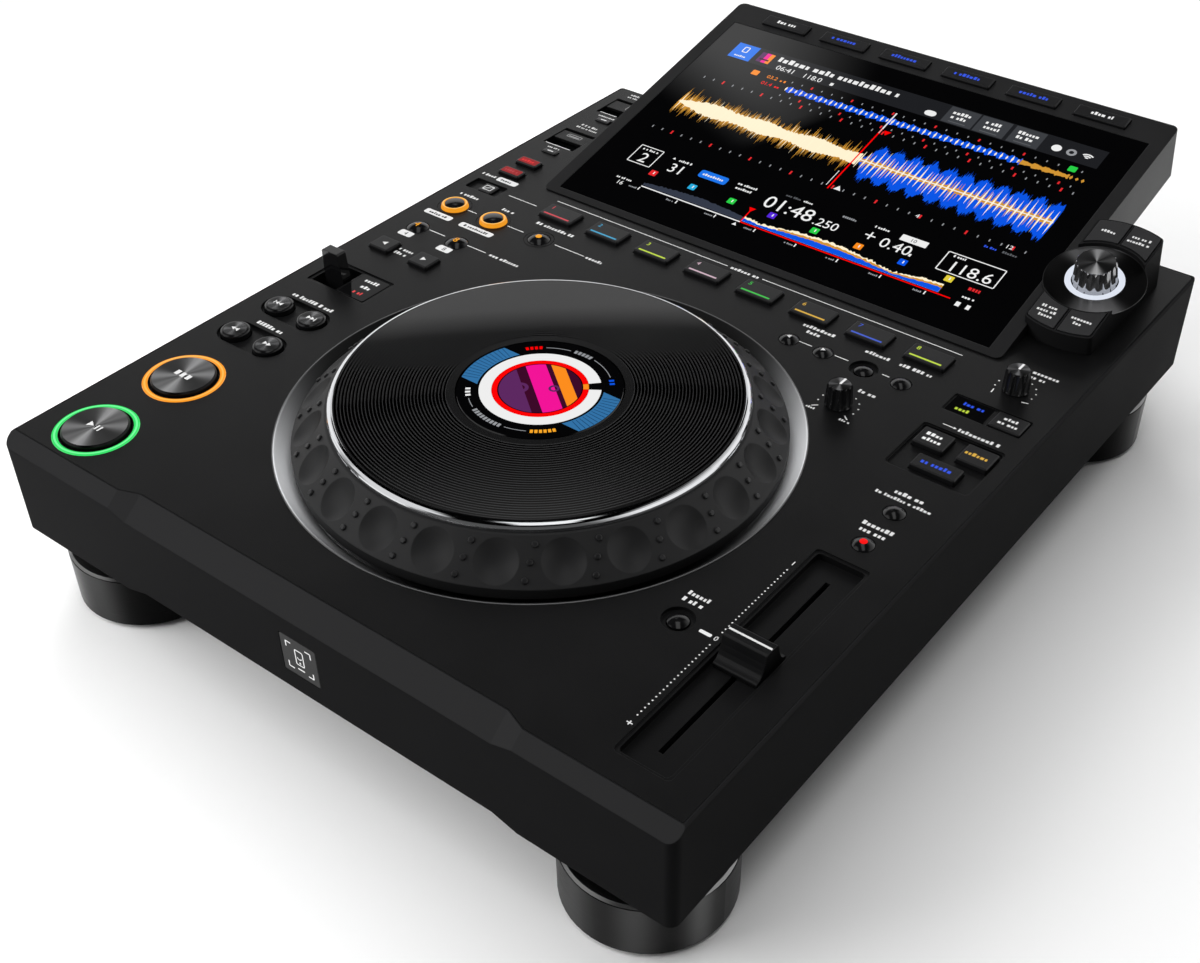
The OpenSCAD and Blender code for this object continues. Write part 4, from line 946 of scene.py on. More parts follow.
def markTransport():
    play = topOf("play_button")
    white = ink("printWhite", "play_button", slot="key_grey")
    white.triangle(play, -2.6, 0, 1.9, 0)
    for x in (1.3, 3.1):
        white.bar(play, x, 0, 0.8, 3.0)
    cue = topOf("cue_button")
    for x in (-3.2, 0, 3.2):
        ink("printWhite", "cue_button", slot="key_grey").bar(cue, x, 0, 2.1, 3.0)


# plain figures on the two lids and the fader's line
lidMarks = {
    "usb_lid": [("frame", 0, 0.6, 9, 3, 0.4, 0.8), ("bar", 0, 0.2, 6.4, 0.7)],
    "card_lid": [("frame", 0, 0.6, 8, 5.6, 0.4, 0.8), *(("bar", x, 2.0, 0.8, 1.2) for x in (-2, 0, 2))],
}
faderLine = {"wide": 17.2, "tall": 0.9}


def markLids():
    for body, rows in lidMarks.items():
        drawRows(topOf(body), [("printGrey", 0, *row) for row in rows], body)


def markFader():
    ink("printWhite", "tempo_fader").bar(topOf("tempo_fader"), 0, 0, faderLine["wide"], faderLine["tall"])


printDeck()
printTempoScale()
printKnobScale("jog_feel_knob", 0)
printKnobScale("jog_speed_knob", 55)
markHotCues()
markKeys()
markMenuKeys()
markPodKeys()
markTransport()
markLids()
markFader()
print("deck and keys marked")

# lit pieces in the deck and the pod
buttonRing = {"inner": 14.6, "outer": 17.0, "foot": -1.8, "top": 0.3, "round": 0.35, "rim": 0.8,
              "sleeve": 0.2}


def ringSection(inner, outer, foot, top, edge):
    # a ring with both upper edges cut by the same amount
    return [(inner, foot), (outer, foot), (outer, top - edge), (outer - edge, top), (inner + edge, top),
            (inner, top - edge)]


def litRing(name, spot, section, colour, steps=96):
    turned(name, spot, section, finishes[colour + "Glass"], steps=steps,
           replaces="light_guides")


def makeButtonRings():
    r = buttonRing
    bore, low = r["inner"] - r["sleeve"], r["inner"] - 0.01
    sleeve = [(bore, r["foot"]), (low, r["foot"]), (low, r["top"] - 0.1), (bore, r["top"] - 0.1)]
    for node, colour in (("play_button", "ringGreen"), ("cue_button", "ringAmber")):
        spot = deckAt(node)
        litRing(node + "_ring", spot, ringSection(r["inner"], r["outer"], r["foot"], r["top"], r["round"]),
                colour)
        ink(colour + "Rim").arc(spot.moved(0, 0, r["top"]), 0, 0, r["inner"] + r["rim"],
                                r["outer"] - r["rim"], steps=72)
        turned(node + "_sleeve", spot, sleeve, finishes["pan"])


loopSkirt = {"bore": 5.1, "foot": 6.7, "top": 6.2, "seat": -0.9, "height": 1.8, "light": (0.35, 0.4)}


def makeLoopSkirts():
    bore, foot, top, seat, height, light = loopSkirt.values()
    section = [(bore, seat), (foot, seat), (foot, 0.1), (top + 0.1, height - 0.3), (top - 0.25, height),
               (bore + 0.2, height), (bore, height - 0.2)]
    for node in ("loop_in_button", "loop_out_button"):
        spot = deckAt(node)
        litRing(node + "_skirt", spot, section, "skirtAmber", 48)
        ink("skirtLightGlass").arc(spot.moved(0, 0, height), 0, 0, bore + light[0], top - light[1], steps=40)


selector = {"ringInner": 10.1, "ringOuter": 12.7, "ringTop": -1.3, "ringFoot": -3.3, "ringEdge": 0.3,
            "dishRadius": 22.0, "dishDepth": 2.2, "rimRadius": 12.9, "silver": (0.2, 0.2, 0.205)}


def makeSelectorRing():
    s = selector
    section = ringSection(s["ringInner"], s["ringOuter"], s["ringFoot"], s["ringTop"], s["ringEdge"])
    litRing("selector_light", pod, section, "dialWhite")


def makeDish():
    # glossy lining of the selector's dish, turned with fine rings, with painted highlight wedges in its colour
    s = selector
    finish = spunFinish("dishGloss", s["silver"], 0.3, pod.origin, 0.0005, 0.000002, metallic=0.9,
                        axis=slopeUp, fan="dish")[0]
    high = 0.3 - s["ringTop"]
    rim, depth = s["rimRadius"], -s["dishDepth"]
    outer = s["dishRadius"] - 0.05
    section = [(rim, -high - 0.32), (outer, depth + 0.01), (outer, depth + 0.3),
               (s["dishRadius"] - 0.35, depth + 0.06), (rim + 0.3, -high + 0.06), (rim, -high)]
    turned("selector_dish", pod, section, finish)


# small lit windows: place and size on the deck, and what is lit in each
window = {"corner": 0.8, "low": -1.6, "high": -0.3, "chamfer": 0.2}
windows = {
    "direction_window": {"place": (-129.3, -34.2), "size": (15.85, 17.85), "marks": [
        ("whiteGlass", 0, "greek", 0.8, 5.2, 9, 2.2), ("whiteGlass", 0, "greek", 0.8, 0.3, 5, 2.2),
        ("redGlass", 0, "greek", 0.8, -4.7, 5, 2.2)]},
    "mode_window": {"place": (130.9, 47.0), "size": (17.65, 11.85), "marks": [
        ("menuBlueGlass", 0, "greek", 0.6, 2.2, 9, 2.1), ("limeGlass", 0, "greek", -2.4, -2.4, 6, 2.1)]},
}


def makeWindows():
    for name, values in windows.items():
        place = deck.moved(*values["place"])
        plate(name, place, *values["size"], *window.values())
        drawRows(place.moved(0, 0, window["high"]), values["marks"])


tag = {"z": 21, "side": 18.2, "corner": 0.9, "low": -1.0, "high": -0.06, "chamfer": 0.15, "mark": 12.4,
       "arm": 2.6, "line": 0.55}
tagCard = [("white", 0, "frame", 0, 0.6, 4.4, 7.6, 0.5, 0.8), ("white", 0, "disc", 0, -1.8, 0.45),
           ("white", 0, "arc", 0, 1.2, 0.9, 1.35, 200, 340, 10), ("white", 0, "bar", 0, -5.2, 3.4, 0.6)]


def makeTagPanel():
    # glossy panel in the front wall with corner brackets round a small card figure
    wall = Spot(Vector((0, caseLow.y, caseLow.z + tag["z"] * mm)), along=up, normal=-forward, across=right)
    plate("tag_panel", wall, tag["side"], tag["side"], tag["corner"], tag["low"], tag["high"], tag["chamfer"])
    face = wall.moved(0, 0, tag["high"])
    white = ink("white")
    reach = tag["mark"] / 2
    for sx in (-1, 1):
        for sy in (-1, 1):
            white.bar(face, sx * (reach - tag["arm"] / 2), sy * reach, tag["arm"], tag["line"])
            white.bar(face, sx * reach, sy * (reach - tag["arm"] / 2), tag["line"], tag["arm"])
    drawRows(face, tagCard)


makeButtonRings()
makeLoopSkirts()
makeSelectorRing()
makeDish()
makeWindows()
makeTagPanel()
print("lit pieces made")

# the jog wheel
jog = {"foot": (98.3, 0.2), "top": (84.0, 13.4), "dimples": 24, "pipRows": (0.17, 0.5, 0.83),
       "pipRadius": 1.2, "pipHeight": 0.9, "pipLean": 5.4, "grooveFrom": 36.5, "grooveTo": 79.9,
       "groovePitch": 1.35, "grooveDepth": 0.03, "grooveWide": 0.16, "grooveRest": 0.02}


def makePips():
    # small raised pips between the finger dimples
    radiusFoot, heightFoot = jog["foot"]
    radiusTop, heightTop = jog["top"]
    run = radiusFoot - radiusTop
    rise = heightTop - heightFoot
    slopeLong = math.hypot(run, rise)
    pips = ink("pip", "jog_wheel", slot="ring_rubber")
    r, h = jog["pipRadius"], jog["pipHeight"]
    section = [(0, -0.3), (r, -0.3), (r, h * 0.5), (r * 0.9, h * 0.8), (r * 0.66, h), (0, h)]
    for i in range(jog["dimples"]):
        turn = math.radians((i + 0.5) * 360 / jog["dimples"])
        out = Vector((math.cos(turn), math.sin(turn), 0))
        along = (up * rise - out * run) / slopeLong
        normal = (out * rise + up * run) / slopeLong
        foot = jogDeck.origin + (out * radiusFoot + up * heightFoot) * mm
        slope = Spot(foot, along=along, normal=normal, across=Vector((-out.y, out.x, 0)))
        for share in jog["pipRows"]:
            pips.turn(slope, (share - 0.5) * jog["pipLean"], share * slopeLong, section, 16)


def makeGrooves():
    # fine turned grooves in the top plate; painted highlight lines along them are drawn in its colour
    j = jog
    section = [(j["grooveTo"], 0.0), (j["grooveFrom"], 0.0)]
    radius = j["grooveFrom"]
    while radius < j["grooveTo"] - j["groovePitch"] / 2:
        section += [(radius, j["grooveRest"]), (radius + j["grooveWide"] / 2, j["grooveDepth"]),
                    (radius + j["groovePitch"] - j["grooveWide"] / 2, j["grooveDepth"])]
        radius += j["groovePitch"]
    section.append((j["grooveTo"], j["grooveRest"]))
    finish = spunFinish("turnedPlate", (0.0001, 0.0001, 0.0001), 0.02, jogFace.origin, j["groovePitch"] * mm,
                        0, metallic=0.0, anisotropic=0.0, lines=(0.026, 0.026, 0.0268))[0]
    turned("plate_grooves", jogFace, section, finish, "jog_wheel", steps=160, sharp=2)


# the round display: radii in mm, angles in degrees from +X; bands run across the disc in the middle
eye = {
    "blueInner": 25, "blueOuter": 32.3, "blueHalf": 12.8, "whiteRing": (19.1, 24.0), "gap": (34, 46),
    "redRing": (16.8, 19.0), "artRadius": 16.3, "artTurn": -38, "legend": 28.2, "legendTall": 2.0,
    "ribs": 13, "ribHalf": 0.3,
    "bands": [("plum", -16.3, -6.5), ("wine", -6.5, -2.5), ("pink", -2.5, 5.5), ("wine", 5.5, 7.5),
              ("brightOrange", 7.5, 12.5), ("wine", 12.5, 16.3)],
    "loops": [(-6.5, -4.5, 3.4), (4.5, 3.0, 2.2)],
    "legends": [("hotRed", 135, 15), ("grey", 92, 18), ("waveBlue", 45, 9), ("white", 222, 13),
                ("grey", 262, 32), ("amber", 312, 21)],
    "lines": [(104, 125), (52, 80), (231, 243), (281, 299)],
}


def chord(radius, low, high, turn, steps=14):
    # the part of a disc between two parallel lines
    first = math.degrees(math.asin(max(min(low / radius, 1), -1)))
    last = math.degrees(math.asin(max(min(high / radius, 1), -1)))
    line = ringPoints(0, 0, radius, first + turn, last + turn, steps)
    return line + ringPoints(0, 0, radius, 180 - last + turn, 180 - first + turn, steps)


def glow(colour, layer=1):
    return ink(colour + "Glass", layer=layer, slot="display_glass")


def drawEye():
    # rings, legends and a banded disc on the display in the middle of the wheel
    spot = topOf("centre_display")
    inner, outer, half = eye["blueInner"], eye["blueOuter"], eye["ribHalf"]
    innerTurn = math.degrees(math.asin(eye["blueHalf"] / inner))
    outerTurn = math.degrees(math.asin(eye["blueHalf"] / outer))
    for side in (0, 180):
        glow("arcBlue").strip(spot, ringPoints(0, 0, inner, side - innerTurn, side + innerTurn, 24),
                              ringPoints(0, 0, outer, side - outerTurn, side + outerTurn, 24))
        for i in range(eye["ribs"]):
            turn = side + outerTurn * (2 * (i + 0.5) / eye["ribs"] - 1)
            glow("ribBlue", 2).arc(spot, 0, 0, inner + 0.6, outer - 0.2, turn - half, turn + half, 1)
    gapFrom, gapTo = eye["gap"]
    glow("white").arc(spot, 0, 0, *eye["whiteRing"], gapTo, gapFrom + 360, 72)
    glow("hotRed").arc(spot, 0, 0, *eye["redRing"], gapTo, gapFrom + 360, 72)
    glow("brightOrange").arc(spot, 0, 0, *eye["redRing"], gapFrom + 0.5, gapTo - 0.5, 6)
    for colour, low, high in eye["bands"]:
        glow(colour).patch(spot, chord(eye["artRadius"], low, high, eye["artTurn"]))
    for x, y, radius in eye["loops"]:
        glow("plum", 2).arc(spot, x, y, radius * 0.55, radius, 0, 360, 24)
    legend = eye["legend"]
    for colour, turn, span in eye["legends"]:
        glow(colour).greekArc(spot, legend, turn, span, eye["legendTall"])
    for start, end in eye["lines"]:
        glow("grey").arc(spot, 0, 0, legend - 0.15, legend + 0.15, start, end, 10)


makePips()
makeGrooves()
drawEye()
print("jog wheel dressed")

# what the display shows: mm across from its middle, and steps up from its lower edge
screenStretch = 0.968
screenDrop = 4  # mm from the lower edge of the glass to where the steps start
screen = Spot(glass.at(0, -screenDrop * screenStretch), along=slopeAlong * screenStretch, normal=slopeUp)
beat = 5.9  # distance between ticks


def show(*rows):
    # each row has a colour, a layer, the kind of mark and its numbers
    for colour, layer, kind, *numbers in rows:
        getattr(glow(colour, layer), kind)(screen, *numbers)


def drawHeader():
    show(("panel", 0, "bar", 0, 141, 208, 14),
         ("pillBlue", 1, "bar", -97.5, 141, 13, 13),
         ("white", 2, "frame", -97.5, 143, 3.4, 5, 0.6, 0.8),
         ("white", 2, "greek", -97.5, 137, 7, 1.4),
         ("plum", 1, "bar", -86.6, 141.2, 2.9, 8.4),
         ("pink", 1, "bar", -83.9, 141.2, 2.5, 8.4),
         ("brightOrange", 1, "bar", -81.5, 141.2, 2.3, 8.4),
         ("wine", 2, "bar", -84.2, 139.6, 5.4, 1.2),
         ("white", 1, "greek", -41.5, 143.6, 71, 3.9),
         ("white", 1, "digits", "06:41", -69.5, 137, 3.6),
         ("white", 1, "digits", "118.0", -52.5, 137, 3.6),
         ("white", 1, "greek", -39.5, 137, 5, 3.2),
         ("white", 2, "pill", 15, 137.5, 6.2, 4.2))
    for x, wide in ((30, 10.5), (47, 9), (65, 10.5)):
        show(("panelEdge", 1, "bar", x, 141, 16, 13),
             ("white", 2, "greek", x, 143.3, wide, 2.3),
             ("white", 2, "greek", x, 139.7, wide - 1, 2.3),
             ("dimGrey", 2, "bar", x, 136, 9, 0.5))
    show(("white", 2, "disc", 81, 140, 2.5),
         ("grey", 2, "arc", 88.6, 140, 1.2, 2.5, 0, 360, 24))
    for radius in (1.0, 2.3, 3.6):
        show(("white", 2, "arc", 96.5, 138.4, radius - 0.45, radius + 0.35, 45, 135, 8))


def drawTicks(y, first, last, tall, redTall):
    for i in range(int((last - first) / beat) + 1):
        colour, *size = ("red", 0.9, redTall) if i % 4 == 2 else ("grey", 0.55, tall)
        show((colour, 1, "bar", first + i * beat, y, *size))


def drawBand(colour, layer, first, last, y, pitch, reach):
    # a filled wave between two uneven lines
    low = []
    high = []
    for i in range(int((last - first) / pitch) + 1):
        x = first + i * pitch
        down, upward = reach(x)
        low.append((x, y - down))
        high.append((x, y + upward))
    glow(colour, layer).strip(screen, low, high)


def drawSpikes(colour, layer, first, last, y, pitch, wide, reach, chance=1.0):
    x = first
    while x < last:
        down, upward = reach(x)
        if random.random() < chance:
            lean = random.uniform(-0.3, 0.3)
            glow(colour, layer).patch(screen, [(x - wide / 2, y), (x + lean * 0.3, y - down),
                                               (x + wide / 2, y), (x + lean, y + upward)])
        x += pitch


def calmReach(x):
    swell = 4.6 + 0.9 * math.sin(x * 0.21) + random.uniform(-0.8, 0.8)
    fade = min(1.0, (x + 106) / 12)
    return swell * fade, swell * fade


def sharpReach(x):
    beatShare = ((x + 104) / beat) % 1
    tall = 8.5 + 5.5 * (1 - beatShare) ** 2 + random.uniform(-3.2, 2.0)
    return tall * random.uniform(0.75, 1.0), tall * random.uniform(0.75, 1.0)


def heavyReach(x):
    lobe = abs(math.sin((x - 5) * math.pi / 9.2))
    tall = 9.5 + 5.5 * lobe + random.uniform(-1.6, 1.2)
    fade = min(1.0, (x - 3) / 5)
    return tall * fade * random.uniform(0.82, 1.0), tall * fade * random.uniform(0.82, 1.0)


def smallReach(tall):
    def reach(x):
        size = tall * (0.45 + 0.55 * (1 - (x / beat) % 1)) * random.uniform(0.8, 1.1)
        return size, size
    return reach


def between(downFrom, downTo, upFrom, upTo):
    return lambda x: (random.uniform(downFrom, downTo), random.uniform(upFrom, upTo))


def drawWaves():
    # the large moving wave: warm on the left of the play line, blue on its right
    drawSpikes("orange", 1, -104, -1, 90, 0.62, 1.0, sharpReach, 0.92)
    drawSpikes("cream", 2, -103, -1, 90, 1.9, 0.8, sharpReach, 0.5)
    drawBand("cream", 2, -104, 3, 90, 0.8, calmReach)
    drawBand("waveBlue", 1, 4, 104, 90, 0.45, heavyReach)
    drawSpikes("waveBlue", 1, 4, 104, 90, 0.9, 0.9,
               lambda x: (heavyReach(x)[0] + 1.5, heavyReach(x)[1] + 1.5))
    drawSpikes("orange", 2, 4, 103, 90, 1.5, 0.8, between(2, 9, 2, 9), 0.75)
    drawBand("orange", 2, 3, 104, 90, 1.1, between(0.9, 2.2, 0.9, 2.2))
    drawSpikes("cream", 3, 3, 104, 90, beat / 2, 1.0, between(6, 11, 7, 12), 0.85)
    show(("white", 3, "bar", 53, 90, 102, 0.7))
    drawTicks(113, -104, 104, 1.7, 2.6)
    drawTicks(66, -104, 104, 1.7, 2.6)
    show(("hotRed", 4, "bar", 0.5, 90, 0.75, 52),
         ("white", 4, "bar", 0.5, 121, 0.7, 18),
         ("white", 4, "bar", -1.4, 72, 0.35, 12),
         ("hotRed", 4, "triangle", 4, 114, 2.2, 270),
         ("white", 4, "triangle", 5, 66, 2.2, 90),
         ("white", 2, "digits", "4", 48, 66, 2.6),
         ("white", 2, "digits", "12", 95, 66, 2.6))
    # the narrow wave of the next tune above it
    drawBand("waveBlue", 1, -60, 71, 123, 0.7, smallReach(3.0))
    drawSpikes("cream", 2, -60, 71, 123, beat / 2, 1.1, smallReach(3.2))
    drawBand("orange", 1, 71, 96, 123, 0.7, smallReach(2.2))
    drawSpikes("orange", 2, 70, 104, 123, beat / 2, 1.6, smallReach(2.2))
    drawTicks(129, -60, 104, 1.3, 2.0)
    drawTicks(117, -60, 104, 1.3, 2.0)
    show(("brightOrange", 1, "pill", -82, 128, 4, 4, 0.6),
         ("brightOrange", 1, "digits", "03.2", -71.5, 128, 2.6),
         ("brightOrange", 1, "greek", -64.5, 127.6, 4, 1.6),
         ("hotRed", 1, "digits", "01.4", -71.5, 122.3, 2.6),
         ("hotRed", 1, "greek", -64.5, 122, 4, 1.6),
         ("green", 2, "pill", 94.5, 129, 4, 4, 0.6),
         ("menuBlue", 1, "greek", 88, 61.6, 7, 1.4),
         ("dimGrey", 1, "greek", 97, 61.6, 7, 1.4))


def drawReadings():
    show(("white", 1, "frame", -93, 44, 14, 14, 0.5, 0.6),
         ("white", 1, "digits", "2", -93, 42.4, 7.0),
         ("white", 1, "greek", -93, 48.6, 9, 1.5),
         ("white", 1, "digits", "31", -73.5, 42.4, 6.6),
         ("white", 1, "greek", -71.5, 48.8, 8, 1.5),
         ("white", 1, "triangle", -78.6, 48.8, 1.0, 90),
         ("pillBlue", 1, "pill", -53, 45.5, 16, 5.6, 1.4),
         ("white", 2, "greek", -53, 45.5, 12, 1.6),
         ("white", 1, "greek", -34, 47.4, 11, 1.6),
         ("white", 1, "greek", -34.5, 44.2, 9, 1.6),
         ("white", 1, "digits", "01:48", -7.5, 42.6, 8.6),
         ("white", 1, "digits", ".250", 13.8, 41.0, 5.4),
         ("dimGrey", 1, "greek", -10, 50.6, 8, 1.3),
         ("white", 1, "greek", -1.5, 50.6, 5.5, 1.3),
         ("grey", 1, "greek", 22, 49.6, 8.5, 1.3),
         ("white", 1, "greek", 39, 50.4, 8.5, 1.4),
         ("white", 1, "bar", 36, 43.6, 5.2, 0.8),
         ("white", 1, "bar", 36, 43.6, 0.8, 5.2),
         ("white", 1, "digits", "0.40", 50, 42.4, 6.6),
         ("white", 1, "greek", 58.8, 40.2, 1.8, 1.8),
         ("white", 1, "pill", 55.5, 49.6, 13.5, 4.2, 0.4),
         ("panel", 2, "digits", "10", 55.5, 49.6, 2.3),
         ("white", 1, "frame", 87, 44.4, 29, 13.6, 0.55, 0.8),
         ("white", 1, "digits", "118.6", 88.5, 42.6, 7.0),
         ("white", 1, "greek", 79, 49.2, 6, 1.5),
         ("red", 1, "greek", 95, 33, 6, 1.9),
         ("white", 1, "greek", 95, 27.2, 6, 1.5),
         ("white", 1, "greek", 95.5, 22.4, 8, 4.0),
         ("white", 1, "greek", -92, 24.4, 9, 1.4),
         ("white", 1, "digits", "16", -92, 21, 2.8))


cueFlags = [(-81.5, "red"), (-58, "cyan"), (-35, "green"), (-12, "violet"), (11.5, "green"),
            (35, "brightOrange"), (58, "waveBlue"), (81.5, "yellow")]


def hillReach(x):
    hill = 1.2 + 2.6 * abs(math.sin(x * 0.045 + 0.6)) + random.uniform(-0.3, 0.3)
    return 0.0, max(hill, 0.3) * 1.25


def drawWholeTune():
    drawBand("slate", 1, -81, -23, 24.4, 0.9, hillReach)
    drawBand("cream", 1, -23, 82, 24.4, 0.9, lambda x: (0.0, hillReach(x)[1] * 1.3 + random.uniform(0, 0.8)))
    drawBand("orange", 2, -4, 82, 24.4, 0.9, lambda x: (0.0, hillReach(x)[1] * 1.05 + random.uniform(0, 0.3)))
    drawBand("waveBlue", 3, -23, 82, 24.4, 0.9, lambda x: (0.0, hillReach(x)[1] * 0.75))
    show(("white", 2, "bar", -52, 23.5, 58, 0.7),
         ("hotRed", 2, "bar", 32.5, 23.5, 111, 0.7))
    for i in range(8):
        x = -81 + i * 22.5
        show(("white", 2, "bar", x, 21.4, 0.6, 2.2),
             ("grey", 1, "greek", x - 3.4, 21, 4.6, 1.1))
    for x, colour in cueFlags:
        show((colour, 1, "pill", x, 34.5, 4, 4, 0.5),
             ("white", 2, "bar", x + 0.3, 34.7, 0.6, 1.8))
    show(("hotRed", 2, "triangle", -23, 33.8, 2.1, 270),
         ("hotRed", 4, "bar", -23, 28.4, 0.6, 9),
         ("white", 2, "triangle", -24.5, 20.9, 1.4, 90))


drawHeader()
drawWaves()
drawReadings()
drawWholeTune()
print("display drawn")

# turned faces of the buttons and knobs
spunLook = {"depth": 0.0000005, "anisotropic": 0.95, "seat": -0.25, "edge": 0.05, "steps": 72}


def spunFace(name, body, place, radius, colour, roughness, pitch, slot="button_metal", rise=0.02, axis=up):
    # a thin turned face on a button or knob top, with painted highlight wedges in its colour
    finish = spunFinish(name + "Spun", colour, roughness, place.origin, pitch, spunLook["depth"],
                        anisotropic=spunLook["anisotropic"], axis=axis, fan="cap")[0]
    face = Ink(name, finish, body, 0, slot)
    seat = spunLook["seat"]
    section = [(0, seat), (radius, seat), (radius, 0.0), (radius - spunLook["edge"], rise), (0, rise)]
    face.turn(place, 0, 0, section, spunLook["steps"])
    face.lay(30)


# knobs: radius at the foot and the top, heights, and hollow flutes with sharp ridges between them
knobGrip = {"foot": 5.7, "top": 5.25, "low": 0.4, "high": 10.2, "flutes": 12, "depth": 0.75, "cap": 4.5}
selectorGrip = {"foot": 9.6, "top": 8.75, "low": -2.6, "high": 8.7, "flutes": 16, "depth": 0.8, "cap": 8.0}
gripSteps = 8  # faces across one flute


def makeGrip(name, node, spot, grip, finish):
    foot, top, low, high, flutes, depth, cap = grip.values()
    steps = flutes * gripSteps
    # radius, height and share of the flutes' depth
    rows = [(foot - 0.5, low, 0.0), (foot, low, 0.3), (foot, low + 0.8, 1.0), (top, high - 0.9, 1.0),
            (top - 0.25, high - 0.25, 0.7), (cap + 0.1, high, 0.0), (cap, high - 0.3, 0.0)]
    points = []
    for radius, h, share in rows:
        for i in range(steps):
            across = 2 * (i % gripSteps) / gripSteps - 1  # -1 at a ridge, 0 in the bottom of a flute
            reach = radius - depth * share * (1 - across * across)
            turn = 2 * math.pi * i / steps
            points.append(spot.at(reach * math.cos(turn), reach * math.sin(turn), h))
    faces = [tuple(range(steps)), tuple(range((len(rows) - 1) * steps, len(rows) * steps))]
    for row in range(len(rows) - 1):
        faces += sideFaces(row * steps, (row + 1) * steps, steps)
    addPiece(name, points, faces, finish, node, 35, node)


def dressSpunFaces():
    for node in seekMarks:
        spunFace(node + "_face", node, topOf(node), 4.9, (0.4, 0.4, 0.41), 0.28, 0.0004, rise=0.008)
    for node in ("jog_feel_knob", "jog_speed_knob"):
        spot = deckAt(node)
        makeGrip(node + "_grip", node, spot, knobGrip, finishes["knob"])
        top = spot.moved(0, 0, knobGrip["high"] - 0.1)
        spunFace(node + "_cap", node, top, knobGrip["cap"], (0.34, 0.34, 0.35), 0.3, 0.0004)
        # painted light: the pointer line glows white though it is a printed mark
        ink("white", node, 1).bar(top, 0, 2.2, 1.0, 4.4)
    makeGrip("selector_grip", "selector_knob", pod, selectorGrip, finishes["gripChrome"])
    top = pod.moved(0, 0, selectorGrip["high"] - 0.1)
    spunFace("selector_cap", "selector_knob", top, selectorGrip["cap"], (0.6, 0.6, 0.61), 0.32, 0.0005,
             slot="knob_gloss", axis=slopeUp)


dressSpunFaces()

# finishes of the built parts
slotFinish = {
    "case_black": "case", "deck_black": "deck", "pan_black": "pan", "display_glass": "glass",
    "ring_rubber": "rubber", "key_grey": "key", "key_black": "keyGloss", "knob_gloss": "knob",
    "light_guide": "window",
}

trim = {"radius": 80.45, "plate": (0.003, 0.003, 0.0032), "chrome": (0.8, 0.81, 0.83), "shine": (0.16, 0.07)}


def plateFinish():
    # black plate inside a chrome trim
    finish, tree, shader = newFinish("plateAndTrim", (0.006, 0.006, 0.006), 0.3)
    outside = addMath(tree, "GREATER_THAN", radiusFrom(tree, jogFace.origin), trim["radius"] * mm)
    wire(tree, mixColour(tree, outside, trim["plate"], trim["chrome"]), shader.inputs["Base Color"])
    wire(tree, outside, shader.inputs["Metallic"])
    wire(tree, addRange(tree, outside, 0, 1, *trim["shine"]), shader.inputs["Roughness"])
    shader.inputs["Specular IOR Level"].default_value = 0.2
    return finish


well = {"flange": 3 * mm, "lip": 0.5 * mm, "silver": (0.86, 0.87, 0.89), "lipGrey": (0.12, 0.12, 0.123)}


def coneFinish():
    # turned cone whose brightness is painted highlight wedges, black between them, with a dark lip at the deck
    finish, tree, shader, radius = spunFinish("turnedCone", well["silver"], 0.42, jogFace.origin, 0.0008,
                                              0.0000005, metallic=0.45)
    low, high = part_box("jog_well")
    lip = addMath(tree, "GREATER_THAN", radius, (high.x - low.x) / 2 - well["flange"] - well["lip"])
    highlightWedges = fanColour(tree, jogFace.origin, "cone", well["silver"])
    wire(tree, mixColour(tree, lip, highlightWedges, well["lipGrey"]), shader.inputs["Base Color"])
    return finish


foot = {"radius": 32, "pad": 1.95, "edge": 0.9, "edgeHighlightGrey": 0.26, "roughness": 0.3, "grain": (60, 60, 1800)}


def footFinish():
    # dark turned metal with painted highlight bands and a painted highlight along its upper edge, over a rubber
    # pad; each foot is a mirror image of the next
    shine = foot["roughness"]
    finish, tree, shader = newFinish("footMetal", (0.05, 0.05, 0.052), shine, 1.0)
    brushed = noiseOf(tree, 1.0, 3.0, foot["grain"])
    wire(tree, addRange(tree, brushed, 0, 1, shine * 0.75, shine * 1.3), shader.inputs["Roughness"])
    addBump(tree, shader, brushed, 0.000003)
    stretchShine(tree, shader, 0.9)
    low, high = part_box("feet")
    sides = []
    for axis, centre, end in (("X", 0.0, high.x), ("Y", (low.y + high.y) / 2, high.y)):
        away = addMath(tree, "ABSOLUTE", addMath(tree, "SUBTRACT", coordinateOf(tree, axis), centre))
        sides.append(addMath(tree, "SUBTRACT", away, end - centre - foot["radius"] * mm))
    height = coordinateOf(tree)
    # painted highlight: a lighter grey along the upper edge
    edge = addMath(tree, "GREATER_THAN", height, high.z - foot["edge"] * mm)
    pad = addMath(tree, "LESS_THAN", height, low.z + foot["pad"] * mm)
    metal = mixColour(tree, edge, fanOf(tree, *sides, fans["foot"]), (foot["edgeHighlightGrey"],) * 3)
    wire(tree, mixColour(tree, pad, metal, (0.01, 0.01, 0.01)), shader.inputs["Base Color"])
    wire(tree, addMath(tree, "SUBTRACT", 1.0, pad), shader.inputs["Metallic"])
    return finish


board = {"high": 14}  # the rails start this far above the foot of the board's pillars


def boardFinish():
    # green circuit board, with blackened steel rails and frame for the fader above it
    finish, tree, shader = newFinish("boardAndRails", (0.02, 0.12, 0.05), 0.5)
    rails = addMath(tree, "GREATER_THAN", coordinateOf(tree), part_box("main_board")[0].z + board["high"] * mm)
    grain = noiseOf(tree, 600.0, 3.0)
    green = mixColour(tree, grain, (0.012, 0.09, 0.035), (0.03, 0.15, 0.065))
    wire(tree, mixColour(tree, rails, green, (0.006, 0.006, 0.006)), shader.inputs["Base Color"])
    wire(tree, addRange(tree, grain, 0, 1, 0.42, 0.58), shader.inputs["Roughness"])
    return finish


# how far below the deck the sockets in the rear wall start, and where the black and the gilt ones are
socketZones = {"below": 18, "side": 40}


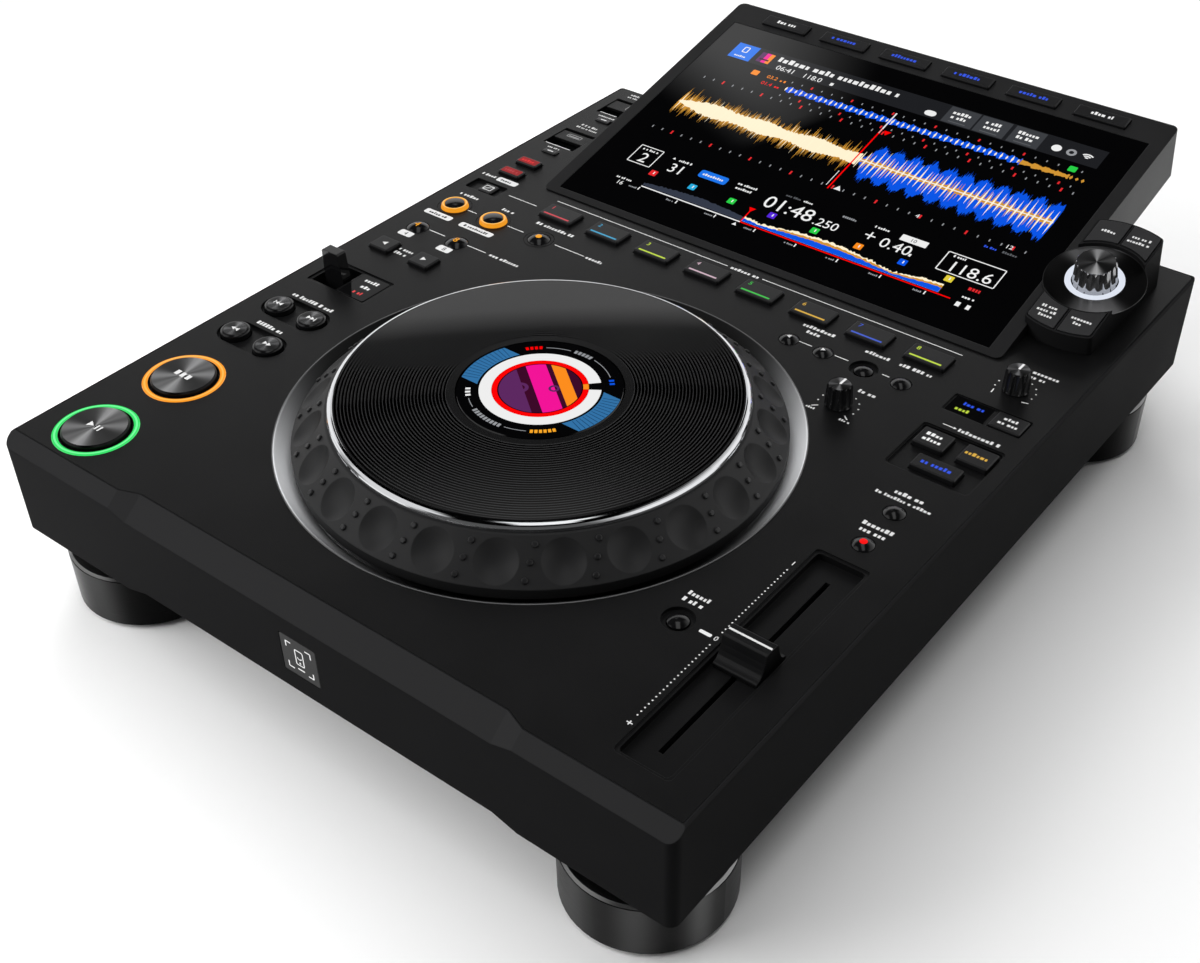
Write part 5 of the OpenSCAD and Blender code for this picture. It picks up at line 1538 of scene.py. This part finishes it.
def socketFinish():
    # black plastic to the left, gilt jacks to the right, plated shells between them and on the deck
    finish, tree, shader = newFinish("socketParts", (0.02, 0.02, 0.02), 0.3)
    across = coordinateOf(tree, "X")
    side = socketZones["side"] * mm
    low = addMath(tree, "LESS_THAN", coordinateOf(tree), deckZ - socketZones["below"] * mm)
    black = addMath(tree, "MULTIPLY", low, addMath(tree, "LESS_THAN", across, -side))
    gilt = addMath(tree, "MULTIPLY", low, addMath(tree, "GREATER_THAN", across, side))
    grain = noiseOf(tree, 300.0, 3.0)
    plated = mixColour(tree, grain, (0.5, 0.5, 0.52), (0.66, 0.66, 0.68))
    metals = mixColour(tree, gilt, plated, (0.72, 0.5, 0.2))
    wire(tree, mixColour(tree, black, metals, (0.008, 0.008, 0.008)), shader.inputs["Base Color"])
    wire(tree, addMath(tree, "SUBTRACT", 1.0, black), shader.inputs["Metallic"])
    wire(tree, addRange(tree, grain, 0, 1, 0.22, 0.34), shader.inputs["Roughness"])
    return finish


shell = {"colour": (0.0108, 0.0108, 0.0112), "bevelHighlightColour": (0.0215, 0.0215, 0.0221), "bevelLow": 0.3,
         "bevelHigh": 0.95}


def shellFinish():
    # moulded case; its bevelled edges carry a painted highlight, a lighter colour than its walls and its top
    finish = grainFinish("caseBlack", shell["colour"], 0.5, 2600, 0.00002, edge=0.0006, specular=0.01)
    tree = finish.node_tree
    base = tree.nodes["Principled BSDF"].inputs["Base Color"]
    plain = base.links[0].from_socket
    tilt = tiltOf(tree)
    above = addMath(tree, "GREATER_THAN", tilt, shell["bevelLow"])
    below = addMath(tree, "LESS_THAN", tilt, shell["bevelHigh"])
    wire(tree, mixColour(tree, addMath(tree, "MULTIPLY", above, below), plain, shell["bevelHighlightColour"]), base)
    return finish


cap = {"metal": (0.9, 0.9, 0.91), "roughness": 0.34, "wall": (0.03, 0.03, 0.031), "faceTilt": 0.8}


def capFinish(node):
    # turned metal face with painted highlight wedges in its colour, and a dark polished wall
    finish, tree, shader = spunFinish(node + "Metal", cap["metal"], cap["roughness"], middle(node), 0.0005,
                                      0.0000004, anisotropic=0.96)[:3]
    face = addMath(tree, "GREATER_THAN", tiltOf(tree), cap["faceTilt"])
    metal = fanColour(tree, middle(node), "cap", cap["metal"])
    wire(tree, mixColour(tree, face, cap["wall"], metal), shader.inputs["Base Color"])
    return finish


def dressParts():
    slots = {part["node"]: part["material_slot"] for part in frame["record"]["subparts"]}
    special = {
        "jog_plate": plateFinish(), "feet": footFinish(), "sockets": socketFinish(),
        "main_board": boardFinish(), "jog_well": coneFinish(), "outer_case": shellFinish(),
        "tempo_fader": finishes["fader"], "pod_keys": finishes["podKey"],
        "display_housing": finishes["housing"], "play_button": capFinish("play_button"),
        "cue_button": capFinish("cue_button"),
    }
    for node, thing in frame["nodes"].items():
        finish = special[node] if node in special else finishes[slotFinish[slots[node]]]
        for slotIndex in range(max(len(thing.material_slots), 1)):
            if not thing.material_slots:
                thing.data.materials.append(finish)
            thing.material_slots[slotIndex].material = finish


dressParts()
print("parts dressed")

# screws under the base and in the rear wall: their shape, their places in mm, and the rear labels
screw = {"radius": 3.0, "high": 1.1, "socket": 1.2, "floor": 0.3, "steps": 24}
screwPlaces = {"base": [(x, y) for x in (-146, 0, 146) for y in (-125, 125)] + [(0, -180), (0, 180)],
               "rear": [(x, 38) for x in (-150, -60, 40, 150)] + [(-150, 8), (150, 8)]}
rearLabels = {"up": 34, "tall": 1.8,
              "places": [(112, 20), (78, 12), (8, 8), (-22, 9), (-54, 7), (-74, 7), (-98, 10)]}


def driveScrews(name, wall):
    # low round heads with a sunk socket
    r, h, socket, floor, steps = screw.values()
    section = [(0, -0.2), (r, -0.2), (r, h * 0.35), (r * 0.82, h * 0.8), (socket + 0.4, h),
               (socket, h * 0.9), (socket, floor), (0, floor - 0.1)]
    holder = Ink(name + "_screws", finishes["screw"], "root", 0, "foot_metal")
    for x, y in screwPlaces[name]:
        holder.turn(wall.moved(x, y), 0, 0, section, steps)
    holder.lay(30)


driveScrews("base", Spot(Vector((0, caseY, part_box("base_pan")[0].z)), along=-forward, normal=-up))
rearWall = Spot(Vector((0, caseHigh.y, caseLow.z)), along=up, normal=forward, across=-right)
driveScrews("rear", rearWall)
for x, wide in rearLabels["places"]:
    ink("printGrey").greek(rearWall.moved(x, rearLabels["up"]), 0, 0, wide, rearLabels["tall"])
print("screws driven")

for mark in inks.values():
    mark.lay()
print("marks laid:", len(inks))
